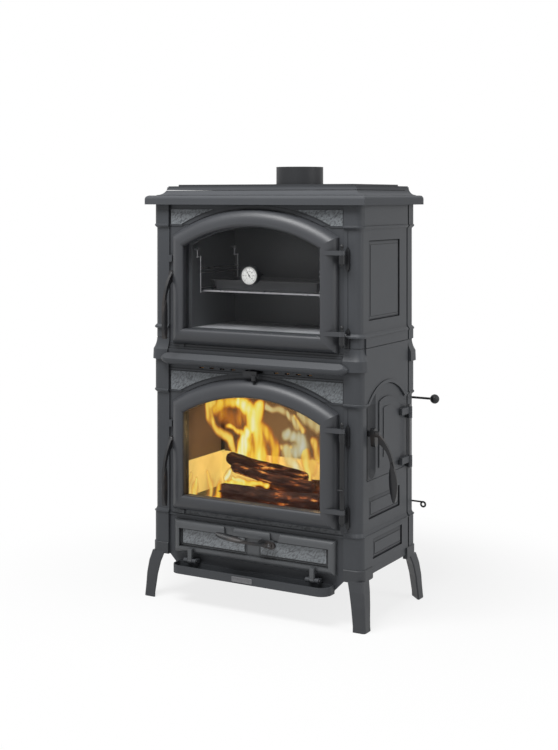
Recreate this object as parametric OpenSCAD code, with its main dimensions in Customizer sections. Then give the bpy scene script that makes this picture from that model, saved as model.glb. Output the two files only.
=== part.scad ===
// Two-storey cast iron range cooker: a wood firebox below, a glass-fronted oven
// above it, and a hob plate with a flue collar on top. Millimetres.
// X is to the right, Y to the back and Z up. The front face of the corner posts
// is the plane y = 0 before place() moves the origin to the middle of the floor.

/* [Body] */
// Width over the corner posts
body_w = 730; // [700:1:800]
// Depth from the front posts to the rear posts
body_d = 381; // [375:1:420]
// Radius of the body's upright corners
corner_r = 22.6; // [18:0.2:26]
// Thickness of the cast walls behind the posts' face
wall = 12; // [11:0.5:14]
// Thickness of the front casting's plate
plate_t = 8; // [6:0.5:10]
// How far the wall panels lie behind the mouldings
inset = 4.6; // [3:0.2:5]
// How far the sharp edge of a ledge moulding stands out
ledge_out = 2.6; // [1.5:0.1:4]
// Width of each corner post seen from the front
post_w = 59; // [50:1:64]
// Depth of the front casting behind the posts
front_set = 9; // [8.5:0.5:12]

/* [Heights] */
// Floor to the underside of the base
leg_h = 171; // [150:1:200]
// Height of the base that holds the ash pan
base_h = 96; // [96:1:110]
// Height of the fire stage
fire_h = 544; // [540:1:580]
// Height of the oven stage
oven_h = 415; // [412:1:450]

/* [Top] */
// How far the top plate stands out past the posts
plate_over = 18.6; // [12:0.2:26]
// Height of the moulded top plate
plate_h = 57; // [56:1:66]
// Thickness of the hob plate that shows above the top plate
hob_rise = 5; // [3:1:10]
// Distance of the hob plate from the face of the posts
hob_set = 58; // [50:1:70]
// Outer diameter of the flue collar
collar_d = 150; // [120:1:160]
// Wall of the flue collar
collar_t = 5; // [3:0.5:8]
// Height of the flue collar above the hob plate
collar_h = 57; // [40:1:90]
// Distance of the flue collar behind the posts' face
collar_y = 294; // [280:1:300]

/* [Glazed doors] */
// Width of each glazed door
door_w = 576; // [560:1:584]
// Height of each glazed door at the crown of its arch
door_h = 420; // [410:1:420]
// Height of the straight sides of a glazed door
door_side_h = 338; // [325:1:345]
// Width of the rolled rim round the glass
rim_w = 50; // [49:1:54]
// How far the rolled rim stands out of the front casting
rim_h = 34.6; // [30:0.2:35]
// Thickness of the door glass
glass_t = 4; // [3:0.5:5]
// How far the glass reaches under the rim
glass_grip = 7; // [5:0.5:9]
// Clearance between the glass and its rebate
glass_gap = 1; // [0.5:0.1:2]
// Height of the fire door's bottom above the base
fire_door_z = 12.5; // [10:0.5:14]
// Drop of the oven door's bottom below the stage split
oven_door_drop = 17.5; // [15:0.5:19]
// Height of the lower hinge arm above the door's bottom
arm_low = 59.5; // [55:0.5:66]
// Height of the upper hinge arm above the door's bottom
arm_high = 294; // [285:0.5:298]
// Height of a hinge arm
arm_h = 13; // [10:0.5:15]
// Radius of the glazed doors' hinge pins
pin_r = 4; // [3:0.25:5]
// Running clearance of a hinge pin in its eye
pin_gap = 0.08; // [0.03:0.01:0.1]
// Distance of the glazed doors' hinge line outside the door edge
hinge_out = 23; // [22:0.5:26]
// Distance of the glazed doors' hinge line in front of the posts
hinge_fwd = 18; // [17:0.5:20]
// Height of a door lever's stud above the door's bottom
spindle_z = 219; // [210:1:230]

/* [Side door] */
// Distance of the side door's front edge behind the posts' face
side_y = 45; // [42:1:50]
// Width of the side loading door
side_w = 254; // [240:1:256]
// Height of the side door's bottom above the base
side_z = 156; // [150:1:165]
// Height of the side door's arch centre above its bottom
side_rise = 101; // [95:1:105]
// Radius of the side door's arch
side_r = 169; // [160:1:170]
// Thickness of the side door
side_t = 20; // [18:1:24]

/* [Ash door] */
// Width of the ash door
ash_w = 562; // [540:1:570]
// Height of the ash door
ash_h = 101; // [96:1:102]
// Height of the ash door's bottom above the floor
ash_z = 148; // [146:1:149]
// Height of the ash door's hinge line above the floor
ash_axis_z = 130; // [128:1:132]
// Distance of the ash door's hinge line in front of the posts
ash_axis_y = 16; // [14:0.5:18]
// Width of the ash lip
lip_w = 546; // [520:1:560]
// How far the ash lip stands out of the posts' face
lip_out = 44; // [40:1:58]
// Height of the ash lip's rim
lip_h = 25; // [20:1:26]

/* [Rods] */
// Distance of the two control rods behind the rear wall
rod_back = 11; // [9:0.5:14]
// Height of the air register's rod above the floor
register_z = 622; // [600:1:640]
// How far the ball knob's centre stands out past the right wall
knob_out = 59.5; // [50:0.5:80]
// Diameter of the ball knob
knob_d = 29; // [24:1:34]
// Radius of the air register's rod
register_r = 3.5; // [2.5:0.25:4.5]
// Height of the grate rod above the floor
shaker_z = 298; // [297:0.5:299]
// How far the grate rod's loop centre stands out past the right wall
loop_out = 20.5; // [16:0.5:30]
// Outer radius of the loop
loop_r = 10; // [8:0.5:13]
// Radius of the grate rod
shaker_r = 2.6; // [2:0.1:3.2]

/* [Fits] */
// Clearance between pieces that are set in place by hand
fit = 0.5; // [0.3:0.1:0.8]
// Clearance between a door's edge and the casting beside it
door_gap = 2; // [1.5:0.5:3]
// Clearance behind a closed door, filled by its rope seal
seal_gap = 0.4; // [0.3:0.1:0.8]

/* [Hidden] */
$fn = 48;

iron = [0.30, 0.31, 0.33];
black = [0.08, 0.08, 0.09];
steel = [0.62, 0.63, 0.65];
brick = [0.86, 0.76, 0.55];

z_base = leg_h;
z_fire = z_base + base_h;
z_oven = z_fire + fire_h;
z_top = z_oven + oven_h;
z_hob = z_top + plate_h;
half_w = body_w / 2;
post_x = half_w - post_w;

// Bounding box of the whole cooker, which sets the origin
toe_out = 20;
hub_out = 2;
hub_gap = 0.5;
grip_reach = 47;
grip_w = 26;
grip_t = 14;
handle_out = hub_out + grip_reach + grip_w / 2;
register_y = body_d + rod_back;
box_x0 = -half_w - toe_out;
box_x1 = half_w + knob_out + knob_d / 2;
box_y0 = -handle_out;
box_y1 = register_y + knob_d / 2;

module place() translate([-(box_x0 + box_x1) / 2, -(box_y0 + box_y1) / 2, 0]) children();

// A box given by its lowest and highest corners
module block(a, b) translate(a) cube(b - a);

// Round bars along each axis
module bar_x(x0, x1, y, z, r) translate([x0, y, z]) rotate([0, 90, 0]) cylinder(h = x1 - x0, r = r);
module bar_y(x, y0, y1, z, r) translate([x, y0, z]) rotate([-90, 0, 0]) cylinder(h = y1 - y0, r = r);
module bar_z(x, y, z0, z1, r) translate([x, y, z0]) cylinder(h = z1 - z0, r = r);

// Puts a shape drawn as (x, z) into the front view, from y0 back to y1
module upright(y0, y1) translate([0, y1, 0]) rotate([90, 0, 0]) linear_extrude(y1 - y0) children();

// Puts a shape drawn as (y, z) into the side view, from x0 to x1
module sideways(x0, x1) translate([x0, 0, 0]) rotate([90, 0, 90]) linear_extrude(x1 - x0) children();

module both_sides() {
  children();
  mirror([1, 0, 0]) children();
}

// ---- Corner posts and walls -------------------------------------------------
// A wall's upright section: x is outward from the post face, y is the height.

bevel = 9;
ledge_t = 4;

// Moulding that ends a full face at height z; dir is -1 where the bevel runs down
module ledge(z, dir) polygon([
  [-wall, z], [-wall, z + dir * bevel], [-inset, z + dir * bevel],
  [ledge_out, z + dir * ledge_t / 2], [ledge_out, z - dir * ledge_t / 2], [0, z - dir * ledge_t], [-wall, z - dir * ledge_t]
]);

module wall_strip(z0, z1, face) translate([-wall, z0]) square([wall + face, z1 - z0]);

// Plain wall between two mouldings, lapped a little into them
lap = 0.5;
module wall_field(z0, z1) wall_strip(z0 + bevel - lap, z1 - bevel + lap, -inset);

module base_section() {
  wall_strip(z_base, z_fire - ledge_t, 0);
  polygon([[-wall, z_fire - ledge_t], [0, z_fire - ledge_t], [ledge_out, z_fire - ledge_t / 2],
    [ledge_out, z_fire], [-wall, z_fire]]);
}

z_shelf = z_oven - 165;
z_band = z_oven - 68;
z_cove = z_oven - 37;
band_out = 6.8;
band_foot = 8;

// Shadow gap under the oven stage, cut this high and this deep
seam_h = 1.8;
seam_in = 8;
module seam_strip() wall_strip(z_oven - seam_h, z_oven, -seam_in);

module fire_wall_section() {
  polygon([[-wall, z_fire], [0, z_fire], [-inset, z_fire + bevel], [-wall, z_fire + bevel]]);
  wall_field(z_fire, z_shelf);
  ledge(z_shelf, -1);
}

module fire_side_section() {
  fire_wall_section();
  wall_strip(z_shelf, z_oven - seam_h, 0);
  seam_strip();
}

// The front corners carry a band with a hollow cove above it
module fire_post_section() {
  rise = z_oven - z_cove;
  sweep = band_out + inset;
  cove_r = (sweep * sweep + rise * rise) / (2 * sweep);
  fire_wall_section();
  wall_strip(z_shelf, z_band, 0);
  polygon([[-wall, z_band], [band_foot, z_band], [band_out, z_cove], [-wall, z_cove]]);
  difference() {
    wall_strip(z_cove, z_oven - seam_h, band_out);
    translate([cove_r - inset, z_oven]) circle(r = cove_r, $fn = 96);
  }
  seam_strip();
}

z_sill = z_oven + 32;
z_frieze = z_top - 64;

module oven_wall_section(foot) {
  wall_strip(z_oven, z_sill, foot);
  ledge(z_sill, 1);
  wall_field(z_sill, z_frieze);
  ledge(z_frieze, -1);
  wall_strip(z_frieze, z_top, 0);
}

// Sweeps a section round one upright corner, with straight runs on both sides
module corner(front_run, side_run) {
  translate([half_w - corner_r, corner_r, 0]) rotate([0, 0, 270])
    rotate_extrude(angle = 90) translate([corner_r, 0]) children();
  translate([half_w - corner_r, 0, 0]) rotate([90, 0, -90]) linear_extrude(front_run) children();
  translate([half_w, corner_r + side_run, 0]) rotate([90, 0, 0]) linear_extrude(side_run) children();
}

module at_rear() translate([0, body_d, 0]) mirror([0, 1, 0]) children();

side_start = corner_r + 8;
side_end = body_d - 59;
rear_post = body_d - 51;
strip_sink = 3;

module front_posts() both_sides() corner(half_w - corner_r - post_x, side_start - corner_r) children();

module rear_posts() at_rear() both_sides()
  corner(half_w - corner_r - post_x, body_d - rear_post - corner_r) children();

// A side wall between the posts, with a sunk strip beside the rear post
module side_wall(z0, z1) difference() {
  translate([half_w, rear_post, 0]) rotate([90, 0, 0]) linear_extrude(rear_post - side_start) children();
  block([half_w - inset - strip_sink, side_end, z0 - 1], [half_w + ledge_out + 1, rear_post + 1, z1 + 1]);
}

// A fielded panel cut into the side wall: a field whose four borders slope down
panel_border = 12;
panel_sink = 5;
panel_line = 1.6;
module fielded(y0, y1, z0, z1, face) {
  top = half_w + face - 0.4;
  low = half_w + face - panel_sink;
  difference() {
    block([low, y0, z0], [half_w + wall, y1, z1]);
    intersection() {
      translate([0, 0, z0]) linear_extrude(z1 - z0)
        polygon([[low - 1, y0], [low, y0], [top, y0 + panel_border], [top, y1 - panel_border], [low, y1], [low - 1, y1]]);
      upright(y0, y1)
        polygon([[low - 1, z0], [low, z0], [top, z0 + panel_border], [top, z1 - panel_border], [low, z1], [low - 1, z1]]);
    }
  }
  difference() {
    block([top - panel_line, y0 + panel_border - 1, z0 + panel_border - 1],
      [top + 1, y1 - panel_border + 1, z1 - panel_border + 1]);
    block([low, y0 + panel_border + 1, z0 + panel_border + 1],
      [top + 2, y1 - panel_border - 1, z1 - panel_border - 1]);
  }
}

panel_y0 = 57;
panel_y1 = 271;

// ---- Arched openings and doors ---------------------------------------------
// Arch shapes are drawn as (x, z) with the door's bottom at z = 0.

arch_rise = door_h - door_side_h;
arch_r = (door_w * door_w / 4 + arch_rise * arch_rise) / (2 * arch_rise);
arch_z = door_h - arch_r;

// The door's outline, moved inward by d
module arch_shape(d, bottom) intersection() {
  translate([0, arch_z]) circle(r = arch_r - d, $fn = 180);
  translate([-door_w / 2 + d, bottom]) square([door_w - 2 * d, door_h]);
}

rim_crown = rim_w + 4;
open_in = 43;
open_low = 46;

z_fdoor = z_fire + fire_door_z;
z_odoor = z_oven - oven_door_drop;
back_y = front_set - seal_gap;
hinge_x = door_w / 2 + hinge_out;
hinge_y = -hinge_fwd;
eye_r = 9;
arm_zs = [arm_low, arm_high];
bracket_h = 24;
eye_gap = 1;

// Opening in a front casting, with a collar wall behind the plate
collar_back = 23;
collar_wall = 6;
plate_y = front_set + plate_t;

module front_opening(z) translate([0, 0, z]) upright(front_set - 5, collar_back + 1)
  arch_shape(open_in, open_low);

module opening_collar(z) translate([0, 0, z]) upright(plate_y - 1, collar_back)
  arch_shape(open_in - collar_wall, open_low - collar_wall);

// Front plate, which runs a little way behind the posts
module front_plate(z0, z1) block([-post_x - wall, front_set, z0], [post_x + wall, plate_y, z1]);

// Thin bead that follows the arch, and the panel left above it
bead_gap = 3;
bead_w = 8;
bead_t = 2;
module arch_bead(z, low) translate([0, 0, z]) upright(front_set - bead_t, front_set + 1) difference() {
  intersection() {
    translate([0, arch_z]) circle(r = arch_r + bead_gap + bead_w, $fn = 180);
    translate([-post_x, low]) square([2 * post_x, door_h]);
  }
  translate([0, arch_z]) circle(r = arch_r + bead_gap, $fn = 180);
}

spandrel_gap = 5;
module spandrels(z, low, high) translate([0, 0, z]) upright(front_set - bead_t, front_set + 1) difference() {
  translate([-post_x + spandrel_gap, low]) square([2 * (post_x - spandrel_gap), high - low]);
  translate([0, arch_z]) circle(r = arch_r + bead_gap + bead_w + spandrel_gap, $fn = 180);
}

// Hinge bracket screwed to the right-hand post below a door's arm, with a pointed
// back plate and, where the pin ends in it, a finial underneath
bracket_x = hinge_x + 9;
bracket_t = 2;
module hinge_bracket(arm_z, finial) {
  z1 = arm_z - arm_h / 2 - eye_gap;
  z0 = z1 - bracket_h;
  bar_z(hinge_x, hinge_y, z0, z1, eye_r);
  block([hinge_x - 3, hinge_y, z0], [bracket_x - 2, 0, z1]);
  upright(-bracket_t, inset) translate([bracket_x, arm_z]) polygon([
    [0, 17], [6, 8], [6, -45], [0, -54], [-6, -45], [-6, 8]]);
  if (finial) translate([hinge_x, hinge_y, z0 - 9]) cylinder(h = 9, r1 = 2, r2 = eye_r - 2);
}

// Pin through the door's eye with a ball on a neck above it
module hinge_pin(z0, arm_z) {
  top = arm_z + arm_h / 2;
  bar_z(hinge_x, hinge_y, z0, top + 9, pin_r);
  translate([hinge_x, hinge_y, top + 13]) sphere(r = 6);
}

// Narrow groove that sets the hinge strip off from the right-hand post
module hinge_groove(z0, z1) block([half_w - 47, -1, z0], [half_w - 45.6, inset + 2, z1]);

// Small lug under a door's free corner, and the keeper bump beside its stile
module door_rest(low, z) block([-268, 3, low], [-249, front_set + 1, z - 1.5]);

module keeper(z) intersection() {
  block([-post_x + 2, -2, z + 254], [-door_w / 2 - 4, front_set + 1, z + 276]);
  bar_y(-door_w / 2 - 10, -3, front_set + 1, z + 265, 11);
}

// ---- Rolled door rim --------------------------------------------------------
// Sections: x from the outer edge inward, y forward from the back face.

crest_r = 11;
roll_r = rim_h + 2;
roll_edge = 3;
roll_x = sqrt(roll_r * roll_r - pow(roll_edge + 2, 2));

// Outer side of the rim: a convex roll that rises to the full height
module roll_section(width) {
  intersection() {
    translate([roll_x, -2]) circle(r = roll_r, $fn = 96);
    square([roll_x, rim_h]);
  }
  translate([roll_x, 0]) square([width - roll_x, rim_h]);
}

// Space inside the rim, whose front edge is rounded over
module glass_section(w, width) {
  translate([w, -1]) square([width - w, rim_h + 2]);
  difference() {
    translate([w - crest_r, rim_h - crest_r]) square([crest_r + 1, crest_r + 1]);
    translate([w - crest_r, rim_h - crest_r]) circle(r = crest_r, $fn = 64);
  }
}

// Three sweeps of a section meet in mitres: the stiles, the bottom and the arch
module swept_stile() translate([door_w / 2, back_y, -1]) rotate([0, 0, 180]) linear_extrude(door_h + 2) children();

module swept_stiles() intersection() {
  swept_stile() children();
  mirror([1, 0, 0]) swept_stile() children();
}

module swept_bottom() translate([-door_w, back_y, 0]) rotate([180, -90, 0]) linear_extrude(2 * door_w) children();

module swept_arch() translate([0, back_y, arch_z]) rotate([90, 0, 0]) rotate_extrude($fn = 180)
  translate([arch_r, 0]) mirror([1, 0]) children();

arch_core = 50;
module rim_roll() difference() {
  intersection() {
    swept_stiles() roll_section(door_w);
    swept_bottom() roll_section(2 * door_h);
    swept_arch() roll_section(arch_r - arch_core);
  }
  intersection() {
    swept_stiles() glass_section(rim_w, door_w);
    swept_bottom() glass_section(rim_w, 2 * door_h);
    swept_arch() glass_section(rim_crown, arch_r - arch_core);
  }
}

glass_y = -4;
glass_in = rim_w - glass_grip;

module glass_outline(gap) intersection() {
  translate([0, arch_z]) circle(r = arch_r - rim_crown + glass_grip - gap, $fn = 180);
  translate([-door_w / 2 + glass_in + gap, glass_in + gap])
    square([door_w - 2 * (glass_in + gap), door_h]);
}

seal_in = 29;
seal_w = 10;
seal_t = 6;

module seal_ring(gap) difference() {
  arch_shape(seal_in + gap, seal_in + gap);
  arch_shape(seal_in + seal_w - gap, seal_in + seal_w - gap);
}

spindle_x = -door_w / 2 + 1;
stud_r = 4;
stud_len = 7;
hub_r = 9;

module door_frame() {
  door_casting();
  bar_y(spindle_x, -hub_out - stud_len, 0, spindle_z, stud_r);
}

module door_casting() difference() {
  union() {
    difference() {
      rim_roll();
      bar_y(spindle_x, -rim_h - 10, -hub_out, spindle_z, hub_r + 2);
    }
    for (a = arm_zs) {
      block([door_w / 2 - rim_w + 10, hinge_y - 8, a - arm_h / 2], [hinge_x, hinge_y + 3, a + arm_h / 2]);
      bar_z(hinge_x, hinge_y, a - arm_h / 2, a + arm_h / 2, eye_r);
    }
    bar_y(spindle_x, -hub_out, back_y, spindle_z, hub_r);
  }
  upright(glass_y, front_set + 1) glass_outline(0);
  upright(back_y - seal_t, front_set + 1) seal_ring(0);
  for (a = arm_zs) bar_z(hinge_x, hinge_y, a - arm_h, a + arm_h, pin_r + pin_gap);
}

module door_glass() upright(glass_y, glass_y + glass_t) glass_outline(glass_gap);

module door_seal() upright(back_y - seal_t, front_set) seal_ring(0.3);

// Eight steel clips, each screwed to the rim's back, hold the glass forward
clip_y = glass_y + glass_t;
clip_in = rim_w - glass_in - 0.5;
module door_clips() {
  for (x = [-140, 0, 140]) clip_bar([x - 14, glass_in], [x + 14, glass_in + clip_in]);
  both_sides() for (z = [110, 230])
    clip_bar([door_w / 2 - glass_in - clip_in, z - 14], [door_w / 2 - glass_in, z + 14]);
}

module clip_bar(a, b) block([a[0], clip_y, a[1]], [b[0], clip_y + 2, b[1]]);

// ---- Cast lever handles -----------------------------------------------------
// Drawn about the stud: y is minus the reach out of the door and z is the height.
// A flat arm curves out and down from the hub and ends in a leaf-shaped grip.

arm_t = 8;
arm_top = 9.5;
arm_start = 8;
arm_end = -98;
grip_mid = -144;
grip_half = 64;
grip_end = -201;
hub_len = 12;

// Lens between two arcs, given by half its length and half its width
module lens(half, width) {
  r = (half * half + width * width) / (2 * width);
  intersection() {
    translate([r - width, 0]) circle(r = r, $fn = 180);
    translate([width - r, 0]) circle(r = r, $fn = 180);
  }
}

module lever_arm()
  sideways(-arm_t / 2, arm_t / 2) intersection() {
    difference() {
      translate([98.5, -105]) circle(r = 152.5, $fn = 180);
      translate([34.6, -88.4]) circle(r = 75.9, $fn = 120);
    }
    translate([-grip_reach - grip_w / 2, arm_end]) square([grip_reach + grip_w / 2 - arm_start, arm_top - arm_end]);
  }

// Grip, turned by twist about its own length
module lever_grip(twist) translate([0, -grip_reach, 0]) rotate([0, 0, twist]) intersection() {
  sideways(-grip_t, grip_t) translate([0, grip_mid]) lens(grip_half, grip_w / 2);
  translate([0, 0, grip_end]) linear_extrude(grip_half - grip_end + grip_mid) lens(grip_w / 2 + 2, grip_t / 2);
}

// Blind bore in a lever's hub for the stud that it turns on
module stud_bore() bar_y(0, -stud_len - hub_gap, 0, 0, stud_r + pin_gap);

// Oblong shield round the hub of the side and the ash door's levers
shield_w = 20;
shield_high = 18;
shield_low = -39;
module lever_shield(depth) upright(-depth, -hub_gap) {
  for (z = [shield_low, shield_high]) translate([0, z - sign(z) * shield_w / 2]) circle(d = shield_w);
  translate([-shield_w / 2, shield_low + shield_w / 2]) square([shield_w, shield_high - shield_low - shield_w]);
}

module door_handle() translate([spindle_x, -hub_out, spindle_z]) difference() {
  union() {
    lever_arm();
    lever_grip(0);
    bar_y(0, -hub_len, -hub_gap, 0, hub_r);
  }
  stud_bore();
}

// ---- Legs and base ----------------------------------------------------------

block_out = 3;
block_h = 36;
block_side = 47;
web_t = 8;
frame_t = 8;
leg_top = leg_h - block_h;

// Outward reach of the leg and the length of its two flanges, from floor to top
leg_steps = [[0, 20, 40], [14, 19, 39], [34, 17.5, 40], [72, 15.4, 43], [110, 10.5, 46], [140, 3, 48]];

module leg_slice(s) translate([half_w + s[1], -s[1], s[0]]) linear_extrude(0.5) {
  translate([-9, 9]) circle(r = 9, $fn = 32);
  translate([-s[2] + 3, 3]) circle(r = 3, $fn = 16);
  translate([-3, s[2] - 3]) circle(r = 3, $fn = 16);
}

module leg_front_right_shape() {
  corner(half_w - corner_r - post_x, block_side) polygon([
    [-wall, leg_top], [0, leg_top], [block_out, leg_top + 4], [block_out, leg_h - 2],
    [block_out - 2, leg_h], [-wall, leg_h]]);
  intersection() {
    block([half_w - 52, 0, leg_h - frame_t - web_t], [half_w, 52, leg_h - frame_t]);
    translate([half_w - corner_r, corner_r, 0]) union() {
      cylinder(h = leg_h, r = corner_r - wall / 2);
      translate([-60, -corner_r + wall / 2, 0]) cube([60, 90, leg_h]);
      translate([-60, 0, 0]) cube([60 + corner_r - wall / 2, 90, leg_h]);
    }
  }
  for (i = [0:len(leg_steps) - 2]) hull() {
    leg_slice(leg_steps[i]);
    leg_slice(leg_steps[i + 1]);
  }
}

module leg_front_right() place() color(iron) leg_front_right_shape();
module leg_front_left() place() color(iron) mirror([1, 0, 0]) leg_front_right_shape();
module leg_rear_right() place() color(iron) at_rear() leg_front_right_shape();
module leg_rear_left() place() color(iron) at_rear() mirror([1, 0, 0]) leg_front_right_shape();

skirt_h = 23;
skirt_y = corner_r + block_side;

// Plan of the body's inside, d in from its outer face and behind the front plate
module inner_plan(d) intersection() {
  translate([-half_w, plate_y + fit]) square([body_w, body_d]);
  union() {
    translate([-half_w + d, corner_r]) square([body_w - 2 * d, body_d - 2 * corner_r]);
    translate([-half_w + corner_r, d]) square([body_w - 2 * corner_r, body_d - 2 * d]);
    for (x = [-1, 1], y = [corner_r, body_d - corner_r]) translate([x * (half_w - corner_r), y]) circle(r = corner_r - d);
  }
}

module inner_plate(z0, z1) translate([0, 0, z0]) linear_extrude(z1 - z0) inner_plan(wall + fit);

// Ring plate under the base, with skirts hanging between the feet
module foot_frame() place() color(iron) {
  inner = 60;
  edge = wall + fit;
  difference() {
    inner_plate(leg_h - frame_t, leg_h);
    block([-half_w + inner, plate_y + inner, 0], [half_w - inner, body_d - inner, leg_h + 1]);
  }
  both_sides() block([half_w - wall, skirt_y + fit, leg_h - skirt_h], [half_w - inset / 2, body_d - skirt_y - fit, leg_h]);
  both_sides() block([half_w - edge - 2, skirt_y + fit, leg_h - frame_t], [half_w - wall + 2, body_d - skirt_y - fit, leg_h]);
  block([-post_x + fit, body_d - wall, leg_h - skirt_h], [post_x - fit, body_d - inset / 2, leg_h]);
  block([-post_x + fit, body_d - edge - 2, leg_h - frame_t], [post_x - fit, body_d - wall + 2, leg_h]);
}

floor_t = 6;

// Open-fronted base: posts, panelled sides, back wall and floor in one casting
module plinth() place() color(iron) {
  front_posts() base_section();
  rear_posts() base_section();
  both_sides() difference() {
    side_wall(z_base, z_fire) base_section();
    fielded(75, 278, z_base + 20, z_base + 79, 0);
  }
  translate([-post_x, body_d, 0]) rotate([90, 0, 90]) linear_extrude(2 * post_x) base_section();
  translate([0, 0, z_base]) linear_extrude(floor_t) inner_plan(wall / 2);
}

apron_z = 98;
apron_cut = 38;
ash_open_in = 20;

// Front of the base with the ash opening; its lower edge is clipped at the corners
module ash_front() place() color(iron) difference() {
  union() {
    upright(front_set, plate_y) polygon([
      [-post_x + fit, z_fire], [-post_x + fit, apron_z + apron_cut], [-post_x + apron_cut, apron_z],
      [post_x - apron_cut, apron_z], [post_x - fit, apron_z + apron_cut], [post_x - fit, z_fire]]);
    block([-post_x + fit, front_set - 3, z_fire - 8], [post_x - fit, front_set + 1, z_fire - 3]);
    both_sides() block([post_x - 2, wall, z_base + floor_t + 2], [post_x + 22, plate_y, z_fire - 2]);
    both_sides() for (s = [-1, 1]) {
      bar_x(strap_x + s * 15 - 7, strap_x + s * 15 + 7, -ash_axis_y, ash_axis_z, 7);
      block([strap_x + s * 15 - 7, -ash_axis_y, ash_axis_z - 7], [strap_x + s * 15 + 7, front_set + 1, ash_axis_z + 4]);
    }
  }
  block([-ash_w / 2 + ash_open_in, 0, ash_z + 12], [ash_w / 2 - ash_open_in, plate_y + 1, ash_z + ash_h - 12]);
  both_sides() bar_x(strap_x - 30, strap_x + 30, -ash_axis_y, ash_axis_z, ash_pin_r + pin_gap);
}
strap_x = 213;
strap_w = 14;
ash_pin_r = 3;

module ash_hinge_pins() place() color(steel) both_sides()
  bar_x(strap_x - 24, strap_x + 24, -ash_axis_y, ash_axis_z, ash_pin_r);

module lip_plan(d) intersection() {
  translate([-lip_w / 2 + d, -lip_out + d]) square([lip_w - 2 * d, lip_out + front_set]);
  union() {
    translate([-lip_w / 2, -lip_out + lip_corner]) square([lip_w, lip_out]);
    translate([-lip_w / 2 + lip_corner, -lip_out]) square([lip_w - 2 * lip_corner, lip_out]);
    for (s = [-1, 1]) translate([s * (lip_w / 2 - lip_corner), -lip_out + lip_corner]) circle(r = lip_corner - d);
  }
}
lip_corner = 34;
lip_z = 93;
lip_wall = 4;

// Shallow tray that catches ash below the door; its front is bare
module ash_lip() place() color(iron) difference() {
  translate([0, 0, lip_z]) linear_extrude(lip_h) lip_plan(0);
  translate([0, 0, lip_z + lip_wall]) linear_extrude(lip_h) intersection() {
    lip_plan(lip_wall);
    translate([-lip_w, -lip_out]) square([2 * lip_w, lip_out + front_set - lip_wall]);
  }
}

// Sheet steel drawer under the grate
module ash_pan() place() color(steel) {
  pan = [230, 25, z_base + floor_t];
  high = [230, 330, z_base + 62];
  difference() {
    block([-pan[0], pan[1], pan[2]], high);
    block([-pan[0] + 2, pan[1] + 2, pan[2] + 2], high + [-2, -2, 1]);
  }
  difference() {
    block([-45, pan[1] - 6, pan[2] + 26], [45, pan[1] + 1, pan[2] + 38]);
    block([-39, pan[1] - 4, pan[2] + 20], [39, pan[1] + 0, pan[2] + 44]);
  }
}

notch_x = 80;
notch_top = 23;
notch_low = 13;
ash_face = 3;
ash_out = 9;
ash_roll = 14;
ash_edge = 5;
ash_top_rim = 25;
ash_side_rim = 20;

// Section of the ash door's plate with a rolled edge at both ends, from 0 to w
module ash_section(w) {
  for (x = [ash_roll, w - ash_roll]) translate([x, -ash_out + ash_roll]) circle(r = ash_roll, $fn = 64);
  translate([ash_roll, -ash_out]) square([w - 2 * ash_roll, ash_out + back_y]);
  translate([0, ash_edge]) square([w, back_y - ash_edge]);
}

module ash_plate() intersection() {
  translate([-ash_w / 2, 0, ash_z]) linear_extrude(ash_h) ash_section(ash_w);
  translate([ash_w, 0, ash_z + ash_h]) rotate([0, 90, 180]) mirror([0, 1, 0]) linear_extrude(2 * ash_w) ash_section(ash_h);
  block([-ash_w, -50, 0], [ash_w, back_y, z_fire]);
}

// Ash door, hinged along its bottom: a rolled rim round two textured fields
module ash_door() place() color(iron) {
  field_x = ash_w / 2 - ash_side_rim;
  field_z = [ash_z + ash_side_rim, ash_z + ash_h - ash_top_rim];
  difference() {
    union() {
      difference() {
        ash_plate();
        block([-field_x, -ash_out - 1, field_z[0]], [field_x, ash_face, field_z[1]]);
        for (s = [-1, 1]) translate([s * notch_x, 0, 0]) upright(-ash_out - 1, -2) polygon([
          [-notch_top, z_fire], [-notch_low, field_z[1] - 1], [notch_low, field_z[1] - 1], [notch_top, z_fire]]);
      }
      both_sides() {
        block([28, ash_face - 3, field_z[0] + 10], [field_x - 10, ash_face + 1, field_z[1] - 4]);
        block([22, ash_face - 2, field_z[0] + 4], [24, ash_face + 1, field_z[1] - 1]);
        block([field_x - 6, ash_face - 2, field_z[0] + 4], [field_x - 4, ash_face + 1, field_z[1] - 1]);
        block([22, ash_face - 2, field_z[0] + 4], [field_x - 4, ash_face + 1, field_z[0] + 6]);
      }
      both_sides() {
        block([strap_x - strap_w / 2, -ash_axis_y - 6, ash_axis_z], [strap_x + strap_w / 2, -ash_axis_y + 4, ash_z + 18]);
        block([strap_x - strap_w / 2, -ash_axis_y, ash_z + 3], [strap_x + strap_w / 2, ash_face + 1, ash_z + 18]);
        bar_x(strap_x - strap_w / 2, strap_x + strap_w / 2, -ash_axis_y, ash_axis_z, 7);
      }
      bar_y(ash_spindle_x, ash_seat, ash_face + 1, ash_spindle_z, 13);
      bar_y(ash_spindle_x, ash_seat - stud_len, ash_face, ash_spindle_z, stud_r);
    }
    both_sides() bar_x(strap_x - strap_w, strap_x + strap_w, -ash_axis_y, ash_axis_z, ash_pin_r + pin_gap);
  }
}
ash_spindle_x = 68;
ash_spindle_z = ash_z + 65;
ash_seat = -10;
ash_lever_scale = 0.84;
ash_lever_tilt = 7;
ash_grip_twist = 32;

// The same lever, smaller and laid across the ash door
module ash_door_handle() place() color(black)
  translate([ash_spindle_x, ash_seat, ash_spindle_z]) rotate([0, 90 + ash_lever_tilt, 0]) difference() {
    union() {
      scale(ash_lever_scale) {
        lever_arm();
        lever_grip(ash_grip_twist);
      }
      bar_y(0, -hub_len, -hub_gap, 0, hub_r);
      lever_shield(hub_len - 3);
    }
    stud_bore();
  }

// ---- Fire stage -------------------------------------------------------------

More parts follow.
